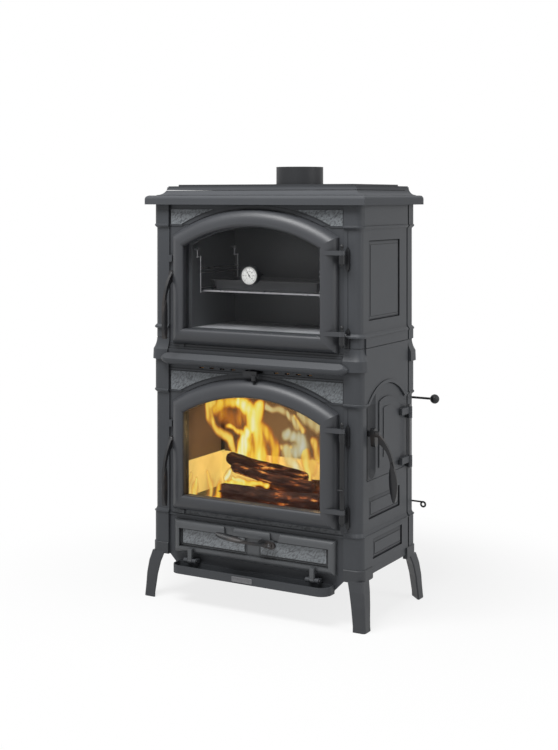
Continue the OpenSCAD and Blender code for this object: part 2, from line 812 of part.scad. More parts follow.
z_split = z_odoor - 2;
slot_z = z_oven - 88;
slot_h = 4;
slot_w = 16;
slot_pitch = 38;
slot_from = 2;
slot_n = 5;
spandrel_low = z_shelf + 3 - z_fdoor;
spandrel_high = z_oven - 103 - z_fdoor;
slider_x = 0;
slider_travel = 18;

module lower_front() place() color(iron) difference() {
  union() {
    front_posts() fire_post_section();
    front_plate(z_fire, z_split);
    opening_collar(z_fdoor);
    arch_bead(z_fdoor, spandrel_low);
    spandrels(z_fdoor, spandrel_low, spandrel_high);
    block([-post_x, front_set - 3, z_oven - 99], [post_x, front_set + 1, z_oven - 95]);
    for (i = [0:2]) block([-post_x, front_set - 3 - 4 * i, z_oven - 46], [post_x, front_set + 1, z_split - 7 * i]);
    difference() {
      block([-post_x, front_set - 2.5, z_shelf - 2], [post_x, front_set + 1, z_shelf + 2]);
      translate([0, 0, z_fdoor]) upright(0, 20) arch_shape(-bead_gap - bead_w, -5);
    }
    door_rest(z_fire, z_fdoor);
    door_rest(z_oven - 46, z_odoor);
    keeper(z_fdoor);
    for (s = [-1, 1]) block([-250, plate_y - 1, slot_z + s * 11.5 - 2], [250, plate_y + 5, slot_z + s * 11.5 + 2]);
  }
  hinge_groove(z_fire + bevel, z_shelf - bevel);
  front_opening(z_fdoor);
  for (i = [slot_from:slot_n], s = [-1, 1]) translate([s * i * slot_pitch, 0, 0])
    block([-slot_w / 2, 0, slot_z - slot_h / 2], [slot_w / 2, plate_y + 1, slot_z + slot_h / 2]);
  block([slider_x - 13 - slider_travel, 0, slot_z - 4], [slider_x + 13 + slider_travel, plate_y + 1, slot_z + 4]);
}

rail_r = 17.5;
rail_y = -10;
rail_z = z_oven - 62.5;
rail_half = 295;
rail_tip = 31;
rail_flat = 13;

// Half-round hand rail between the stages, drawn out to a point at both ends
module front_rail() place() color(iron) difference() {
  union() {
    translate([0, rail_y, rail_z]) rotate([0, 90, 0]) rotate_extrude() intersection() {
      translate([0, -rail_half - rail_tip]) square([rail_r, 2 * (rail_half + rail_tip)]);
      union() {
        translate([0, -rail_half]) square([rail_r, 2 * rail_half]);
        for (s = [-1, 1]) translate([rail_r - tip_r, s * rail_half]) circle(r = tip_r, $fn = 96);
      }
    }
    block([-rail_half, rail_y, rail_z - rail_r + 2], [rail_half, front_set, rail_z + rail_r - 6]);
  }
  translate([0, rail_y, rail_z]) rotate([45, 0, 0]) block([-half_w, -2 * rail_r, rail_flat], [half_w, 2 * rail_r, 3 * rail_r]);
  for (s = [-1, 1]) translate([s * (post_x + 50), 0, 0]) block([-50 - fit, -band_foot - fit, rail_z - 40], [50, 60, rail_z + 40]);
}
tip_full = rail_tip + 3;
tip_r = (rail_r * rail_r + tip_full * tip_full) / (2 * rail_r);

// Bar behind the front casting with its own row of slots, moved by the tab outside
module air_slider() place() color(black) {
  bar_y0 = plate_y + 0.3;
  difference() {
    block([-slot_n * slot_pitch - 26, bar_y0, slot_z - 9], [slot_n * slot_pitch + 26, bar_y0 + 3, slot_z + 9]);
    for (i = [slot_from:slot_n], s = [-1, 1]) translate([s * i * slot_pitch, 0, 0])
      block([-slot_w / 2, 0, slot_z - slot_h / 2], [slot_w / 2, plate_y + 9, slot_z + slot_h / 2]);
  }
  block([slider_x - 12, -14, slot_z - 3.7], [slider_x + 12, bar_y0 + 1, slot_z + 3.7]);
  block([slider_x - 24, -18, slot_z - 12], [slider_x + 24, -13, slot_z + 3.5]);
  bar_z(slider_x + 14, -16, slot_z - 24, slot_z - 8, 8);
}

module lower_side(right) difference() {
  union() {
    side_wall(z_fire, z_oven) fire_side_section();
    if (right) {
      side_arch();
      side_stop();
    }
  }
  fielded(panel_y0, panel_y1, z_fire + 42, z_fire + 104, -inset);
  if (right) side_opening();
  else fielded(panel_y0, panel_y1, z_fire + 140, z_shelf - 30, -inset);
}

side_mid = side_y + side_w / 2;
z_sdoor = z_fire + side_z;
leaf_x = half_w - inset + 1;
leaf_back = leaf_x - side_t;

// Outline of the side door as (y, z), grown by d
module leaf_outline(d) intersection() {
  translate([side_mid, z_sdoor + side_rise]) circle(r = side_r + d, $fn = 120);
  translate([side_y - d, z_sdoor - d]) square([side_w + 2 * d, side_rise + side_r + 2 * d]);
}

// Moulding that follows the side door's arch and springs from the ledge
module side_arch() sideways(half_w - wall, half_w + ledge_out) intersection() {
  leaf_outline(12);
  translate([side_start, z_shelf]) square([side_end - side_start, side_r]);
}

module side_opening() {
  sideways(leaf_back - seal_gap, half_w + 20) leaf_outline(door_gap);
  sideways(half_w - 60, half_w) leaf_outline(-stop_w);
}

// Flange behind the side door for its rope seal to close on
stop_w = 18;
stop_t = 6;
module side_stop() sideways(leaf_back - seal_gap - stop_t, half_w - wall + 1) leaf_outline(door_gap + stop_t);

module lower_side_left() place() color(iron) mirror([1, 0, 0]) lower_side(false);
module lower_side_right() place() color(iron) difference() {
  union() {
    lower_side(true);
    for (z = side_arm_zs) side_bracket(z);
  }
  for (z = side_arm_zs) bar_z(side_axis_x, side_axis_y, z - 60, z + 60, pin_r + pin_gap);
}

side_axis_x = half_w + 8;
side_axis_y = side_y + side_w + 19;
side_arm_h = 20;
side_arm_zs = [z_sdoor + 22, z_sdoor + 172];
side_eye = 8;

// Lug on the sunk strip behind the side door, below each of its arms
module side_bracket(z) {
  top = z - side_arm_h / 2 - eye_gap;
  bar_z(side_axis_x, side_axis_y, top - 14, top, side_eye);
  block([half_w - wall / 2 - 2, side_axis_y - 4, top - 14], [side_axis_x, side_axis_y + 6, top]);
}

module side_hinge_pin() place() color(steel)
  bar_z(side_axis_x, side_axis_y, side_arm_zs[0] - 30, side_arm_zs[1] + 18, pin_r);

scoop_w = 56;
scoop_depth = 13;
scoop_r = (scoop_w * scoop_w / 4 + scoop_depth * scoop_depth) / (2 * scoop_depth);
side_spindle = [side_y + 23, z_sdoor + 135];
side_seat = leaf_x + 2;
side_hub = 14;
side_lever_tilt = 8;

// Loading door in the right wall: a scooped front edge and a raised double panel
module side_door() place() color(iron) difference() {
  union() {
    sideways(leaf_back, leaf_x) leaf_outline(0);
    sideways(leaf_x - 1, leaf_x + 3) side_panel(75, 222, 27, 131);
    sideways(leaf_x + 2, leaf_x + 5) side_panel(101, 207, 55, 103);
    for (z = side_arm_zs) {
      block([leaf_x - 1, side_y + side_w - 40, z - side_arm_h / 2], [leaf_x + 3, side_y + side_w - 2, z + side_arm_h / 2]);
      block([leaf_x + 1.5, side_y + side_w - 40, z - side_arm_h / 2], [side_axis_x + 2, side_axis_y, z + side_arm_h / 2]);
      bar_z(side_axis_x, side_axis_y, z - side_arm_h / 2, z + side_arm_h / 2, side_eye);
    }
    bar_x(leaf_back + 1, side_seat, side_spindle[0], side_spindle[1], hub_r);
    bar_x(leaf_back + 1, side_seat + stud_len, side_spindle[0], side_spindle[1], stud_r);
  }
  difference() {
    union() {
      bar_z(leaf_x + scoop_r - scoop_depth, side_y + scoop_w / 2, z_sdoor + scoop_w / 2, z_sdoor + side_rise + side_r, scoop_r);
      translate([leaf_x + scoop_r - scoop_depth, side_y + scoop_w / 2, z_sdoor + scoop_w / 2 + 2]) sphere(r = scoop_r);
    }
    bar_x(leaf_back, side_seat + stud_len + 1, side_spindle[0], side_spindle[1], hub_r);
  }
  sideways(leaf_back - 1, leaf_back + seal_t) side_seal_ring(0);
  for (z = side_arm_zs) bar_z(side_axis_x, side_axis_y, z - side_arm_h, z + side_arm_h, pin_r + pin_gap);
}

module side_panel(y0, y1, low, r) intersection() {
  translate([side_mid, z_sdoor + side_rise]) circle(r = r, $fn = 96);
  translate([side_y + y0, z_sdoor + low]) square([y1 - y0, 300]);
}

module side_seal_ring(gap) difference() {
  leaf_outline(-6 - gap);
  leaf_outline(-6 - seal_w + gap);
}

module side_door_seal() place() color(black)
  sideways(leaf_back - seal_gap, leaf_back + seal_t) side_seal_ring(0.3);

module side_door_handle() place() color(black)
  translate([side_seat, side_spindle[0], side_spindle[1]]) rotate([0, -side_lever_tilt, 90]) difference() {
    union() {
      translate([0, -side_hub, 0]) {
        lever_arm();
        lever_grip(0);
      }
      bar_y(0, -side_hub - hub_len, -hub_gap, 0, hub_r);
      lever_shield(side_hub);
    }
    stud_bore();
  }

// Rear wall with its posts, lugs for both rods and the grate rod's slot
module lower_back() place() color(iron) difference() {
  union() {
    rear_posts() fire_post_section();
    translate([-post_x, body_d, 0]) rotate([90, 0, 90]) linear_extrude(2 * post_x) fire_side_section();
    for (x = [150, 300]) {
      rod_lug(x, register_z, register_r);
      rod_lug(x, shaker_z, shaker_r);
    }
    for (s = [-1, 1]) {
      block([register_x - 110, rear_face - 1, vent_z + s * 22.5 - 2], [register_x + 110, rear_face + 6.5, vent_z + s * 22.5 + 2]);
      block([register_x - 110, rear_face + 3.6, vent_z + s * 20.5 - 3], [register_x + 110, rear_face + 6.5, vent_z + s * 20.5 + 3]);
    }
  }
  for (x = [150, 300]) {
    bar_x(x - 20, x + 20, register_y, register_z, register_r + pin_gap);
    bar_x(x - 20, x + 20, register_y, shaker_z, shaker_r + pin_gap);
  }
  for (i = [-1:1]) bar_y(register_x + i * 50, body_d - 20, body_d + 20, vent_z, 12);
  block([grate_x - 36, body_d - 20, z_grate - 2], [grate_x + 36, body_d + 20, z_grate + 12]);
}
register_x = 0;
vent_z = register_z - 10;
rear_face = body_d - inset;

module rod_lug(x, z, r) block([x - 6, body_d - inset - 2, z - r - 7], [x + 6, register_y + r + 6, z + r + 7]);

// ---- Inside the fire stage --------------------------------------------------

grate_x = 0;
z_grate = z_fire + 12;
grate_t = 8;
grate_travel = 15;
grate_half = [140, 80];
grate_mid_y = 190;
liner_y = body_d - wall - 28;
brick_x = half_w - 43;
brick_top = z_fire + 133;
inner_x = half_w - wall - fit;
rear_in = body_d - wall - fit;

// Cast floor with a stepped seat that the riddling grate slides on
module firebox_floor() place() color(iron) difference() {
  inner_plate(z_grate - 8, z_grate + grate_t);
  block([grate_x - grate_half[0] - grate_travel - 2, grate_mid_y - grate_half[1] - 0.5, z_grate],
    [grate_x + grate_half[0] + grate_travel + 2, grate_mid_y + grate_half[1] + 0.5, z_grate + grate_t + 1]);
  block([grate_x - grate_half[0] + 20, grate_mid_y - grate_half[1] + 12, z_grate - 9],
    [grate_x + grate_half[0] - 20, grate_mid_y + grate_half[1] - 12, z_grate + 1]);
  block([grate_x - 8 - grate_travel - 2, grate_mid_y, z_grate], [grate_x + 8 + grate_travel + 2, body_d, z_grate + grate_t + 1]);
  rod_holes();
}

// Slotted grate with a tongue out through the rear wall to the rod
module riddling_grate() place() color(iron) difference() {
  union() {
    block([grate_x - grate_half[0], grate_mid_y - grate_half[1], z_grate],
      [grate_x + grate_half[0], grate_mid_y + grate_half[1], z_grate + grate_t]);
    block([grate_x - 8, grate_mid_y, z_grate], [grate_x + 8, body_d + 4, z_grate + grate_t]);
    block([grate_x - 8, body_d + 3, z_grate], [grate_x + 8, register_y + 6, shaker_z + 7]);
  }
  bar_x(grate_x - 9, grate_x + 9, register_y, shaker_z, shaker_r);
  for (i = [-5:5]) block([grate_x + i * 22 - 5, grate_mid_y - grate_half[1] + 16, z_grate - 1],
    [grate_x + i * 22 + 5, grate_mid_y + (i == 0 ? 20 : grate_half[1] - 16), z_grate + grate_t + 1]);
}

// Wire rod behind the rear wall, bent to a loop at its right-hand end
module shaker_rod() place() color(black) {
  end_x = half_w + loop_out;
  ring_r = loop_r - shaker_r;
  bar_x(grate_x - 8, end_x, register_y, shaker_z, shaker_r);
  translate([end_x, register_y, shaker_z - ring_r]) rotate([90, 0, 0]) rotate_extrude()
    translate([ring_r, 0]) circle(r = shaker_r + 0.3, $fn = 24);
}

module register_rod() place() color(black) {
  bar_x(register_x + 72, half_w + knob_out, register_y, register_z, register_r);
  translate([half_w + knob_out, register_y, register_z]) sphere(r = knob_d / 2);
}

// Slide over the rear air holes, held by two rails and drawn by its rod
module register_plate() place() color(iron) difference() {
  y = rear_face + 0.3;
  union() {
    block([register_x - 90, y, vent_z - 20], [register_x + 90, y + 3, vent_z + 20]);
    block([register_x + 72, y, register_z - 7], [register_x + 84, register_y + 7, register_z + 5]);
  }
  for (i = [-1:1]) bar_y(register_x + i * 50, y - 5, y + 5, vent_z, 12);
  bar_x(register_x + 71, register_x + 85, register_y, register_z, register_r);
}

// Side brick, grooved where the front tie bolt passes it
module side_brick() difference() {
  block([brick_x, collar_back + 2, z_grate + grate_t], [inner_x, liner_y - fit, brick_top]);
  rod_holes();
}
module firebrick_left() place() color(brick) mirror([1, 0, 0]) side_brick();
module firebrick_right() place() color(brick) side_brick();
module firebrick_back() place() color(brick)
  block([-inner_x + 24, liner_y, z_grate + grate_t], [inner_x - 24, rear_in, brick_top]);

// Steel plates that line the walls above the bricks
module liner_plates() place() color([0.36, 0.28, 0.22]) {
  top = z_oven - 12;
  mirror([1, 0, 0]) block([brick_x + 6, collar_back + 2, brick_top], [brick_x + 9, liner_y - fit, top]);
  block([-inner_x + 36, liner_y + 6, brick_top], [inner_x - 36, liner_y + 9, top]);
}

module mid_plate() place() color(iron) difference() {
  inner_plate(z_oven - 8, z_oven);
  block([-180, 300, z_oven - 9], [180, 350, z_oven + 1]);
  rod_holes();
}

// Heat baffle that hangs below the plate between the stages
module baffle_plate() place() color([0.36, 0.28, 0.22]) {
  z = z_oven - 100;
  block([-280, 110, z], [280, 330, z + 8]);
  for (x = [-260, 260], y = [130, 300]) bar_z(x, y, z + 7, z_oven - 8, 6);
}

// Long bolts that clamp the castings together at the corners
rod_r = 4;
module rods(r) for (sx = [-1, 1], y = [plate_y + 12, body_d - 26])
  bar_z(sx * (half_w - wall - 12), y, z_base + floor_t, z_top, r);
module rod_holes() rods(rod_r + fit);
module tie_rods() place() color(steel) rods(rod_r);

// ---- Hinge pins and doors ---------------------------------------------------

// Fire door hinge: one long rod with a sleeve and a thumb screw between its brackets
sleeve_r = 7;
screw_z = 126;
module fire_hinge_rod() place() color(black) {
  low = z_fdoor + arm_low;
  high = z_fdoor + arm_high;
  hinge_bracket(low, true);
  hinge_bracket(high, false);
  hinge_pin(low - arm_h, high);
  bar_z(hinge_x, hinge_y, low + arm_h / 2 + eye_gap, high - arm_h, sleeve_r);
  bar_y(hinge_x, hinge_y - 14, hinge_y, z_fdoor + screw_z, 2.5);
  bar_x(hinge_x - 7, hinge_x + 9, hinge_y - 13, z_fdoor + screw_z, 2);
}

// Oven door hinge: a short pin in each bracket; the lower one is notched over the sill
module oven_hinge_pins() place() color(black) for (a = arm_zs) {
  difference() {
    hinge_bracket(z_odoor + a, true);
    block([hinge_x - eye_r, -ledge_out - fit, z_sill - ledge_t - fit], [half_w, inset + 1, z_sill + bevel + fit]);
    block([hinge_x - eye_r, -bracket_t - 1, z_split], [half_w, inset + 1, z_oven + 1]);
  }
  hinge_pin(z_odoor + a - arm_h, z_odoor + a);
}

module fire_door_frame() place() color(iron) translate([0, 0, z_fdoor]) door_frame();
module fire_door_glass() place() color([0.75, 0.78, 0.8, 0.35]) translate([0, 0, z_fdoor]) door_glass();
module fire_door_seal() place() color(black) translate([0, 0, z_fdoor]) door_seal();
module fire_door_clips() place() color(steel) translate([0, 0, z_fdoor]) door_clips();
module fire_door_handle() place() color(black) translate([0, 0, z_fdoor]) door_handle();

module oven_door_frame() place() color(iron) translate([0, 0, z_odoor]) door_frame();
module oven_door_seal() place() color(black) translate([0, 0, z_odoor]) door_seal();
module oven_door_clips() place() color(steel) translate([0, 0, z_odoor]) door_clips();
module oven_door_handle() place() color(black) translate([0, 0, z_odoor]) door_handle();

dial_z = 220;
case_r = 30;
stem_r = 4;
module oven_door_glass() place() color([0.75, 0.78, 0.8, 0.35]) translate([0, 0, z_odoor]) difference() {
  door_glass();
  bar_y(0, -20, 20, dial_z, stem_r + 1);
}

// Thermometer: a case on the glass, with its stem through a hole into the oven
module thermometer_case() place() color(black) translate([0, 0, z_odoor]) {
  difference() {
    bar_y(0, glass_y - 18, glass_y, dial_z, case_r);
    bar_y(0, glass_y - 19, glass_y - 15, dial_z, case_r - 3);
  }
  bar_y(0, glass_y - 1, glass_y + 60, dial_z, stem_r);
  bar_y(0, glass_y - 16, glass_y - 14.5, dial_z, 1.6);
}

module thermometer_pointer() place() color(black) translate([0, 0, z_odoor + dial_z])
  rotate([0, -30, 0]) upright(glass_y - 16.8, glass_y - 16.1) {
    polygon([[-1.6, -7], [1.6, -7], [0.5, 22], [-0.5, 22]]);
    circle(r = 3);
  }

// ---- Oven stage -------------------------------------------------------------

module upper_front() place() color(iron) difference() {
  union() {
    front_posts() oven_wall_section(-inset);
    block([-post_x + fit, front_set, z_split + fit], [post_x - fit, plate_y, z_oven + 1]);
    front_plate(z_oven, z_top);
    opening_collar(z_odoor);
    arch_bead(z_odoor, z_frieze + 3 - z_odoor);
    spandrels(z_odoor, z_frieze + 3 - z_odoor, z_top - 15 - z_odoor);
    difference() {
      block([-post_x, front_set - 2.5, z_frieze - 2], [post_x, front_set + 1, z_frieze + 2]);
      translate([0, 0, z_odoor]) upright(0, 20) arch_shape(-bead_gap - bead_w, -5);
    }
    keeper(z_odoor);
  }
  hinge_groove(z_sill + bevel, z_frieze - bevel);
  front_opening(z_odoor);
}

module upper_side(mirrored) mirror([mirrored, 0, 0]) difference() {
  side_wall(z_oven, z_top) oven_wall_section(0);
  fielded(panel_y0, panel_y1, z_sill + 45, z_frieze - 40, -inset);
}
module upper_side_left() place() color(iron) upper_side(1);
module upper_side_right() place() color(iron) upper_side(0);

module upper_back() place() color(iron) {
  rear_posts() oven_wall_section(0);
  translate([-post_x, body_d, 0]) rotate([90, 0, 90]) linear_extrude(2 * post_x) oven_wall_section(0);
}

oven_half = 233;
oven_back = 275;
oven_low = z_oven + 21;
oven_top = z_oven + 372;
sheet = 2;

// Sheet steel liner with a flange that closes against the opening's collar
module oven_box() place() color([0.28, 0.28, 0.29]) {
  difference() {
    block([-oven_half - sheet, collar_back, oven_low - sheet], [oven_half + sheet, oven_back + sheet, oven_top + sheet]);
    block([-oven_half, collar_back + sheet, oven_low], [oven_half, oven_back, oven_top]);
    translate([0, 0, z_odoor]) upright(0, 100) arch_shape(open_in + 12, open_low + 6);
  }
  difference() {
    block([-oven_half - 30, collar_back, oven_low - 16], [oven_half + 30, collar_back + sheet, oven_top + 12]);
    block([-oven_half, 0, oven_low], [oven_half, 200, oven_top]);
  }
  for (x = [-180, 180], y = [70, 230]) block([x - 12, y - 12, z_oven], [x + 12, y + 12, oven_low - sheet]);
}

slab_t = 12;
module oven_floor_slabs() place() color([0.62, 0.62, 0.62]) both_sides()
  block([0.5, collar_back + sheet + 3, oven_low], [oven_half - 1, oven_back - 1, oven_low + slab_t]);

rack_x = oven_half - 22;
rack_z = [z_oven + 143, z_oven + 157, z_oven + 203, z_oven + 217];
rack_y = [38, 258];
stud_z = z_oven + 276;
hook_drop = 24;
wire_r = 2;
rung_r = 1.6;

// Wire ladder hooked on studs in the oven's wall; its rungs guide the shelf
module rack() {
  for (y = rack_y) {
    bar_x(oven_half - 8, oven_half, y, stud_z, 2.6);
    bar_x(oven_half - 14, oven_half - 7, y, stud_z, 4.5);
  }
  for (y = rack_y) {
    bar_z(oven_half - 10, y, stud_z - hook_drop - wire_r - 1, stud_z, wire_r);
    bar_x(rack_x - wire_r - 1, oven_half - 10 + wire_r + 1, y, stud_z - hook_drop, rung_r);
    bar_z(rack_x, y, rack_z[0] - rung_r - 1, stud_z - hook_drop + wire_r + 1, wire_r);
  }
  for (z = rack_z) bar_y(rack_x - wire_r, rack_y[0] - wire_r - 1, rack_y[1] + wire_r + 1, z, rung_r);
}
module oven_rack_right() place() color(steel) rack();
module oven_rack_left() place() color(steel) mirror([1, 0, 0]) rack();

// Wire shelf between the ladders, resting on a lower rung
module oven_shelf() place() color(steel) {
  z = rack_z[0] + rung_r;
  x = rack_x - wire_r - 0.5;
  difference() {
    block([-x, 46, z], [x, 250, z + 5]);
    block([-x + 5, 51, z - 1], [x - 5, 245, z + 6]);
  }
  for (i = [-7:7]) bar_y(i * 27, 48, 248, z + 2.5, 1.6);
}

// ---- Top --------------------------------------------------------------------

// Edge of the top plate: x is outward from the post face, y is the height
module ogee_edge(inside) {
  round_r = 11.6;
  low = plate_over - 2.1;
  translate([-inside, 0]) square([inside + plate_over, low]);
  translate([plate_over - round_r, low]) circle(r = round_r, $fn = 64);
  translate([-inside, low]) square([inside + plate_over - round_r, round_r]);
  difference() {
    translate([-inside, low]) square([inside - 8, plate_h - 3 - low]);
    translate([-8, plate_h - 3]) circle(r = plate_h - 3 - low - round_r - 1.5, $fn = 96);
  }
  translate([-inside, plate_h - 4]) square([inside - 35, 4]);
}

rear_edge = body_d + plate_over;
hob_y1 = 375;

// Top plate: the ogee runs along the front and both sides and meets in mitres
module top_plate() place() color(iron) difference() {
  intersection() {
    translate([0, 500, z_top]) rotate([90, 0, 0]) linear_extrude(600) both_ways() ogee_edge(half_w);
    union() {
      translate([-500, 0, z_top]) rotate([90, 0, -90]) mirror([0, 0, 1]) linear_extrude(1000) ogee_edge(rear_edge);
    }
  }
  block([-half_w + 30, 30, z_top - 1], [half_w - 30, body_d - 14, z_hob - 12]);
  block([-half_w + hob_set - fit, hob_set - fit, z_hob - 6], [half_w - hob_set + fit, hob_y1 + fit, z_hob + 1]);
  block([-half_w + hob_set + 12, hob_set + 12, z_hob - 20], [half_w - hob_set - 12, body_d - 14, z_hob]);
}

module both_ways() {
  translate([half_w, 0]) children();
  mirror([1, 0]) translate([half_w, 0]) children();
}

module hob_plate() place() color(iron) difference() {
  block([-half_w + hob_set, hob_set, z_hob - 6], [half_w - hob_set, hob_y1, z_hob + hob_rise]);
  bar_z(0, collar_y, z_hob - 10, z_hob + hob_rise + 1, collar_d / 2 - collar_t);
  bar_z(0, collar_y, z_hob + hob_rise - flange_sink, z_hob + hob_rise + 1, flange_r + fit);
}

flange_r = collar_d / 2 + 10;
flange_t = 5;
flange_sink = 3;

// Flue collar; its flange is let into the hob plate
module flue_collar() place() color(iron) translate([0, collar_y, z_hob + hob_rise - flange_sink]) difference() {
  union() {
    cylinder(h = collar_h + flange_sink, r = collar_d / 2, $fn = 96);
    cylinder(h = flange_t, r = flange_r, $fn = 96);
  }
  translate([0, 0, -1]) cylinder(h = collar_h + flange_sink + 2, r = collar_d / 2 - collar_t, $fn = 96);
}

leg_front_left();
leg_front_right();
leg_rear_left();
leg_rear_right();
foot_frame();
plinth();
ash_front();
ash_lip();
ash_pan();
ash_door();
ash_door_handle();
ash_hinge_pins();
lower_front();
front_rail();
air_slider();
lower_side_left();
lower_side_right();
lower_back();
firebox_floor();
riddling_grate();
shaker_rod();
firebrick_left();
firebrick_right();
firebrick_back();
liner_plates();
baffle_plate();
tie_rods();
register_rod();
register_plate();
side_door();
side_door_seal();
side_door_handle();
side_hinge_pin();
fire_door_frame();
fire_door_glass();
fire_door_seal();
fire_door_clips();
fire_door_handle();
fire_hinge_rod();
mid_plate();
upper_front();
upper_side_left();
upper_side_right();
upper_back();
oven_box();
oven_floor_slabs();
oven_rack_left();
oven_rack_right();
oven_shelf();
oven_door_frame();
oven_door_glass();
oven_door_seal();
oven_door_clips();
oven_door_handle();
oven_hinge_pins();
thermometer_case();
thermometer_pointer();
top_plate();
hob_plate();
flue_collar();
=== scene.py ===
import math

import bmesh
import bpy
from mathutils import Matrix, Vector, noise


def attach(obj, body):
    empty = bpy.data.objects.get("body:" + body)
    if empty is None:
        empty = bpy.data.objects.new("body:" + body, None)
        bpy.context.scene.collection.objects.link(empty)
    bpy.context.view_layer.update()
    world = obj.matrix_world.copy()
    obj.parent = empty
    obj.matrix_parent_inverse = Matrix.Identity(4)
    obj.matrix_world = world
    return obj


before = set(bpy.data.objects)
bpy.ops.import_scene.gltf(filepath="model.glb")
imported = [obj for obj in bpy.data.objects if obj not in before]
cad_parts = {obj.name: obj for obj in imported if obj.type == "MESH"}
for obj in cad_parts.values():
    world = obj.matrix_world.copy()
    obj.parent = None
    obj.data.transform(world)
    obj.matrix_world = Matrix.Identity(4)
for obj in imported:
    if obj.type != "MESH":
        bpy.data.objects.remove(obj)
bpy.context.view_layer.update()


# ---- Studio ------------------------------------------------------------------
# A level camera stands high on the stove's right, and its shift brings the legs
# into the picture. Pale paper lies under the stove and keeps a faint shadow.

MM = 0.001
camera_place = (2047.2 * MM, -3639.8 * MM, 1249.3 * MM)
camera_turn = math.radians(29.76)
lens_mm = 64.43
frame_drop = -0.2373

camera_data = bpy.data.cameras.new("camera")
camera_data.sensor_width = 36.0
camera_data.lens = lens_mm
camera_data.shift_y = frame_drop
camera = bpy.data.objects.new("camera", camera_data)
camera.location = camera_place
camera.rotation_euler = (math.radians(90), 0, camera_turn)
bpy.context.collection.objects.link(camera)
bpy.context.scene.camera = camera
bpy.context.scene.view_settings.view_transform = "Standard"


class Signal:
    """A number that varies over a surface. Arithmetic on it adds Math nodes."""

    def __init__(self, finish, socket):
        self.finish = finish
        self.socket = socket

    def maths(self, operation, *values):
        inputs = dict(enumerate(values))
        return self.finish.node("ShaderNodeMath", {"operation": operation}, inputs)["Value"]

    def __add__(self, other):
        return self.maths("ADD", self, other)

    def __sub__(self, other):
        return self.maths("SUBTRACT", self, other)

    def __rsub__(self, other):
        return self.maths("SUBTRACT", other, self)

    def __mul__(self, other):
        return self.maths("MULTIPLY", self, other)

    def __pow__(self, other):
        return self.maths("POWER", self, other)

    def __gt__(self, other):
        return self.maths("GREATER_THAN", self, other)

    def __lt__(self, other):
        return self.maths("LESS_THAN", self, other)

    def __or__(self, other):
        return self.maths("MAXIMUM", self, other)

    def __abs__(self):
        return self.maths("ABSOLUTE", self)

    def smooth(self, low, high):
        """0 below low and 1 above high, with a soft step between them."""
        node = self.finish.node(
            "ShaderNodeMapRange",
            {"interpolation_type": "SMOOTHSTEP"},
            {"Value": self, "From Min": low, "From Max": high},
        )
        return node["Result"]


class Outputs:
    """The output sockets of one shader node, by name or by number."""

    def __init__(self, finish, node):
        self.finish = finish
        self.node = node

    def __getitem__(self, key):
        socket = self.node.outputs[key]
        return Signal(self.finish, socket) if socket.type == "VALUE" else socket


class Finish:
    """One node material around a principled surface. Fixed numbers go on its own sockets."""

    def __init__(self, name, **fixed):
        self.material = bpy.data.materials.new(name)
        self.material.use_nodes = True
        self.tree = self.material.node_tree
        self.surface = self.tree.nodes["Principled BSDF"]
        for socket, value in fixed.items():
            self.surface.inputs[socket.replace("_", " ")].default_value = value
        self.place = self.node("ShaderNodeTexCoord", {}, {})["Object"]
        self.axes = self.node("ShaderNodeSeparateXYZ", {}, {"Vector": self.place})

    def node(self, kind, settings, sockets):
        """Adds a node. Its sockets take numbers, colours, signals or other sockets."""
        node = self.tree.nodes.new(kind)
        for name, value in settings.items():
            if name == "stops":
                ramp = node.color_ramp
                while len(ramp.elements) < len(value):
                    ramp.elements.new(0.5)
                for element, (place, colour) in zip(ramp.elements, value):
                    element.position = place
                    element.color = (*colour, 1.0)
            else:
                setattr(node, name, value)
        for key, value in sockets.items():
            self.feed(node.inputs[key], value)
        return Outputs(self, node)

    def feed(self, socket, value):
        if isinstance(value, Signal):
            value = value.socket
        if isinstance(value, bpy.types.NodeSocket):
            self.tree.links.new(value, socket)
        elif isinstance(value, tuple) and socket.type == "RGBA":
            socket.default_value = (*value[:3], 1.0)
        else:
            socket.default_value = value

    def wear(self, **sockets):
        """Puts what varies over the piece on the surface's sockets."""
        for name, value in sockets.items():
            self.feed(self.surface.inputs[name.replace("_", " ")], value)

    def noise(self, scale, detail=3.0, rough=0.5, vector=None):
        place = self.place if vector is None else vector
        sockets = {"Vector": place, "Scale": scale, "Detail": detail, "Roughness": rough}
        return self.node("ShaderNodeTexNoise", {}, sockets)["Fac"]

    def stretched(self, turn, scale):
        """The place on the piece, turned and then drawn out along each axis."""
        sockets = {"Vector": self.place, "Rotation": turn, "Scale": scale}
        return self.node("ShaderNodeMapping", {"vector_type": "TEXTURE"}, sockets)["Vector"]

    def blend(self, amount, low, high):
        """The colour low where the amount is 0, and high where it is 1."""
        sockets = {"Factor": amount, 6: low, 7: high}
        return self.node("ShaderNodeMix", {"data_type": "RGBA"}, sockets)[2]

    def stops(self, amount, *colours):
        """A colour ramp over the amount, from (place, colour) pairs."""
        return self.node("ShaderNodeValToRGB", {"stops": colours}, {"Fac": amount})["Color"]

    def bump(self, height, strength, distance, under=None):
        sockets = {"Height": height, "Strength": strength, "Distance": distance}
        if under is not None:
            sockets["Normal"] = under
        return self.node("ShaderNodeBump", {}, sockets)["Normal"]

    def cover(self, *names):
        """Gives the material to CAD nodes."""
        for name in names:
            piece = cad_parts[name]
            piece.data.materials.clear()
            piece.data.materials.append(self.material)


floor_half = 9.0
shade_near, shade_far = 0.5, 1.3
least_white = 0.80

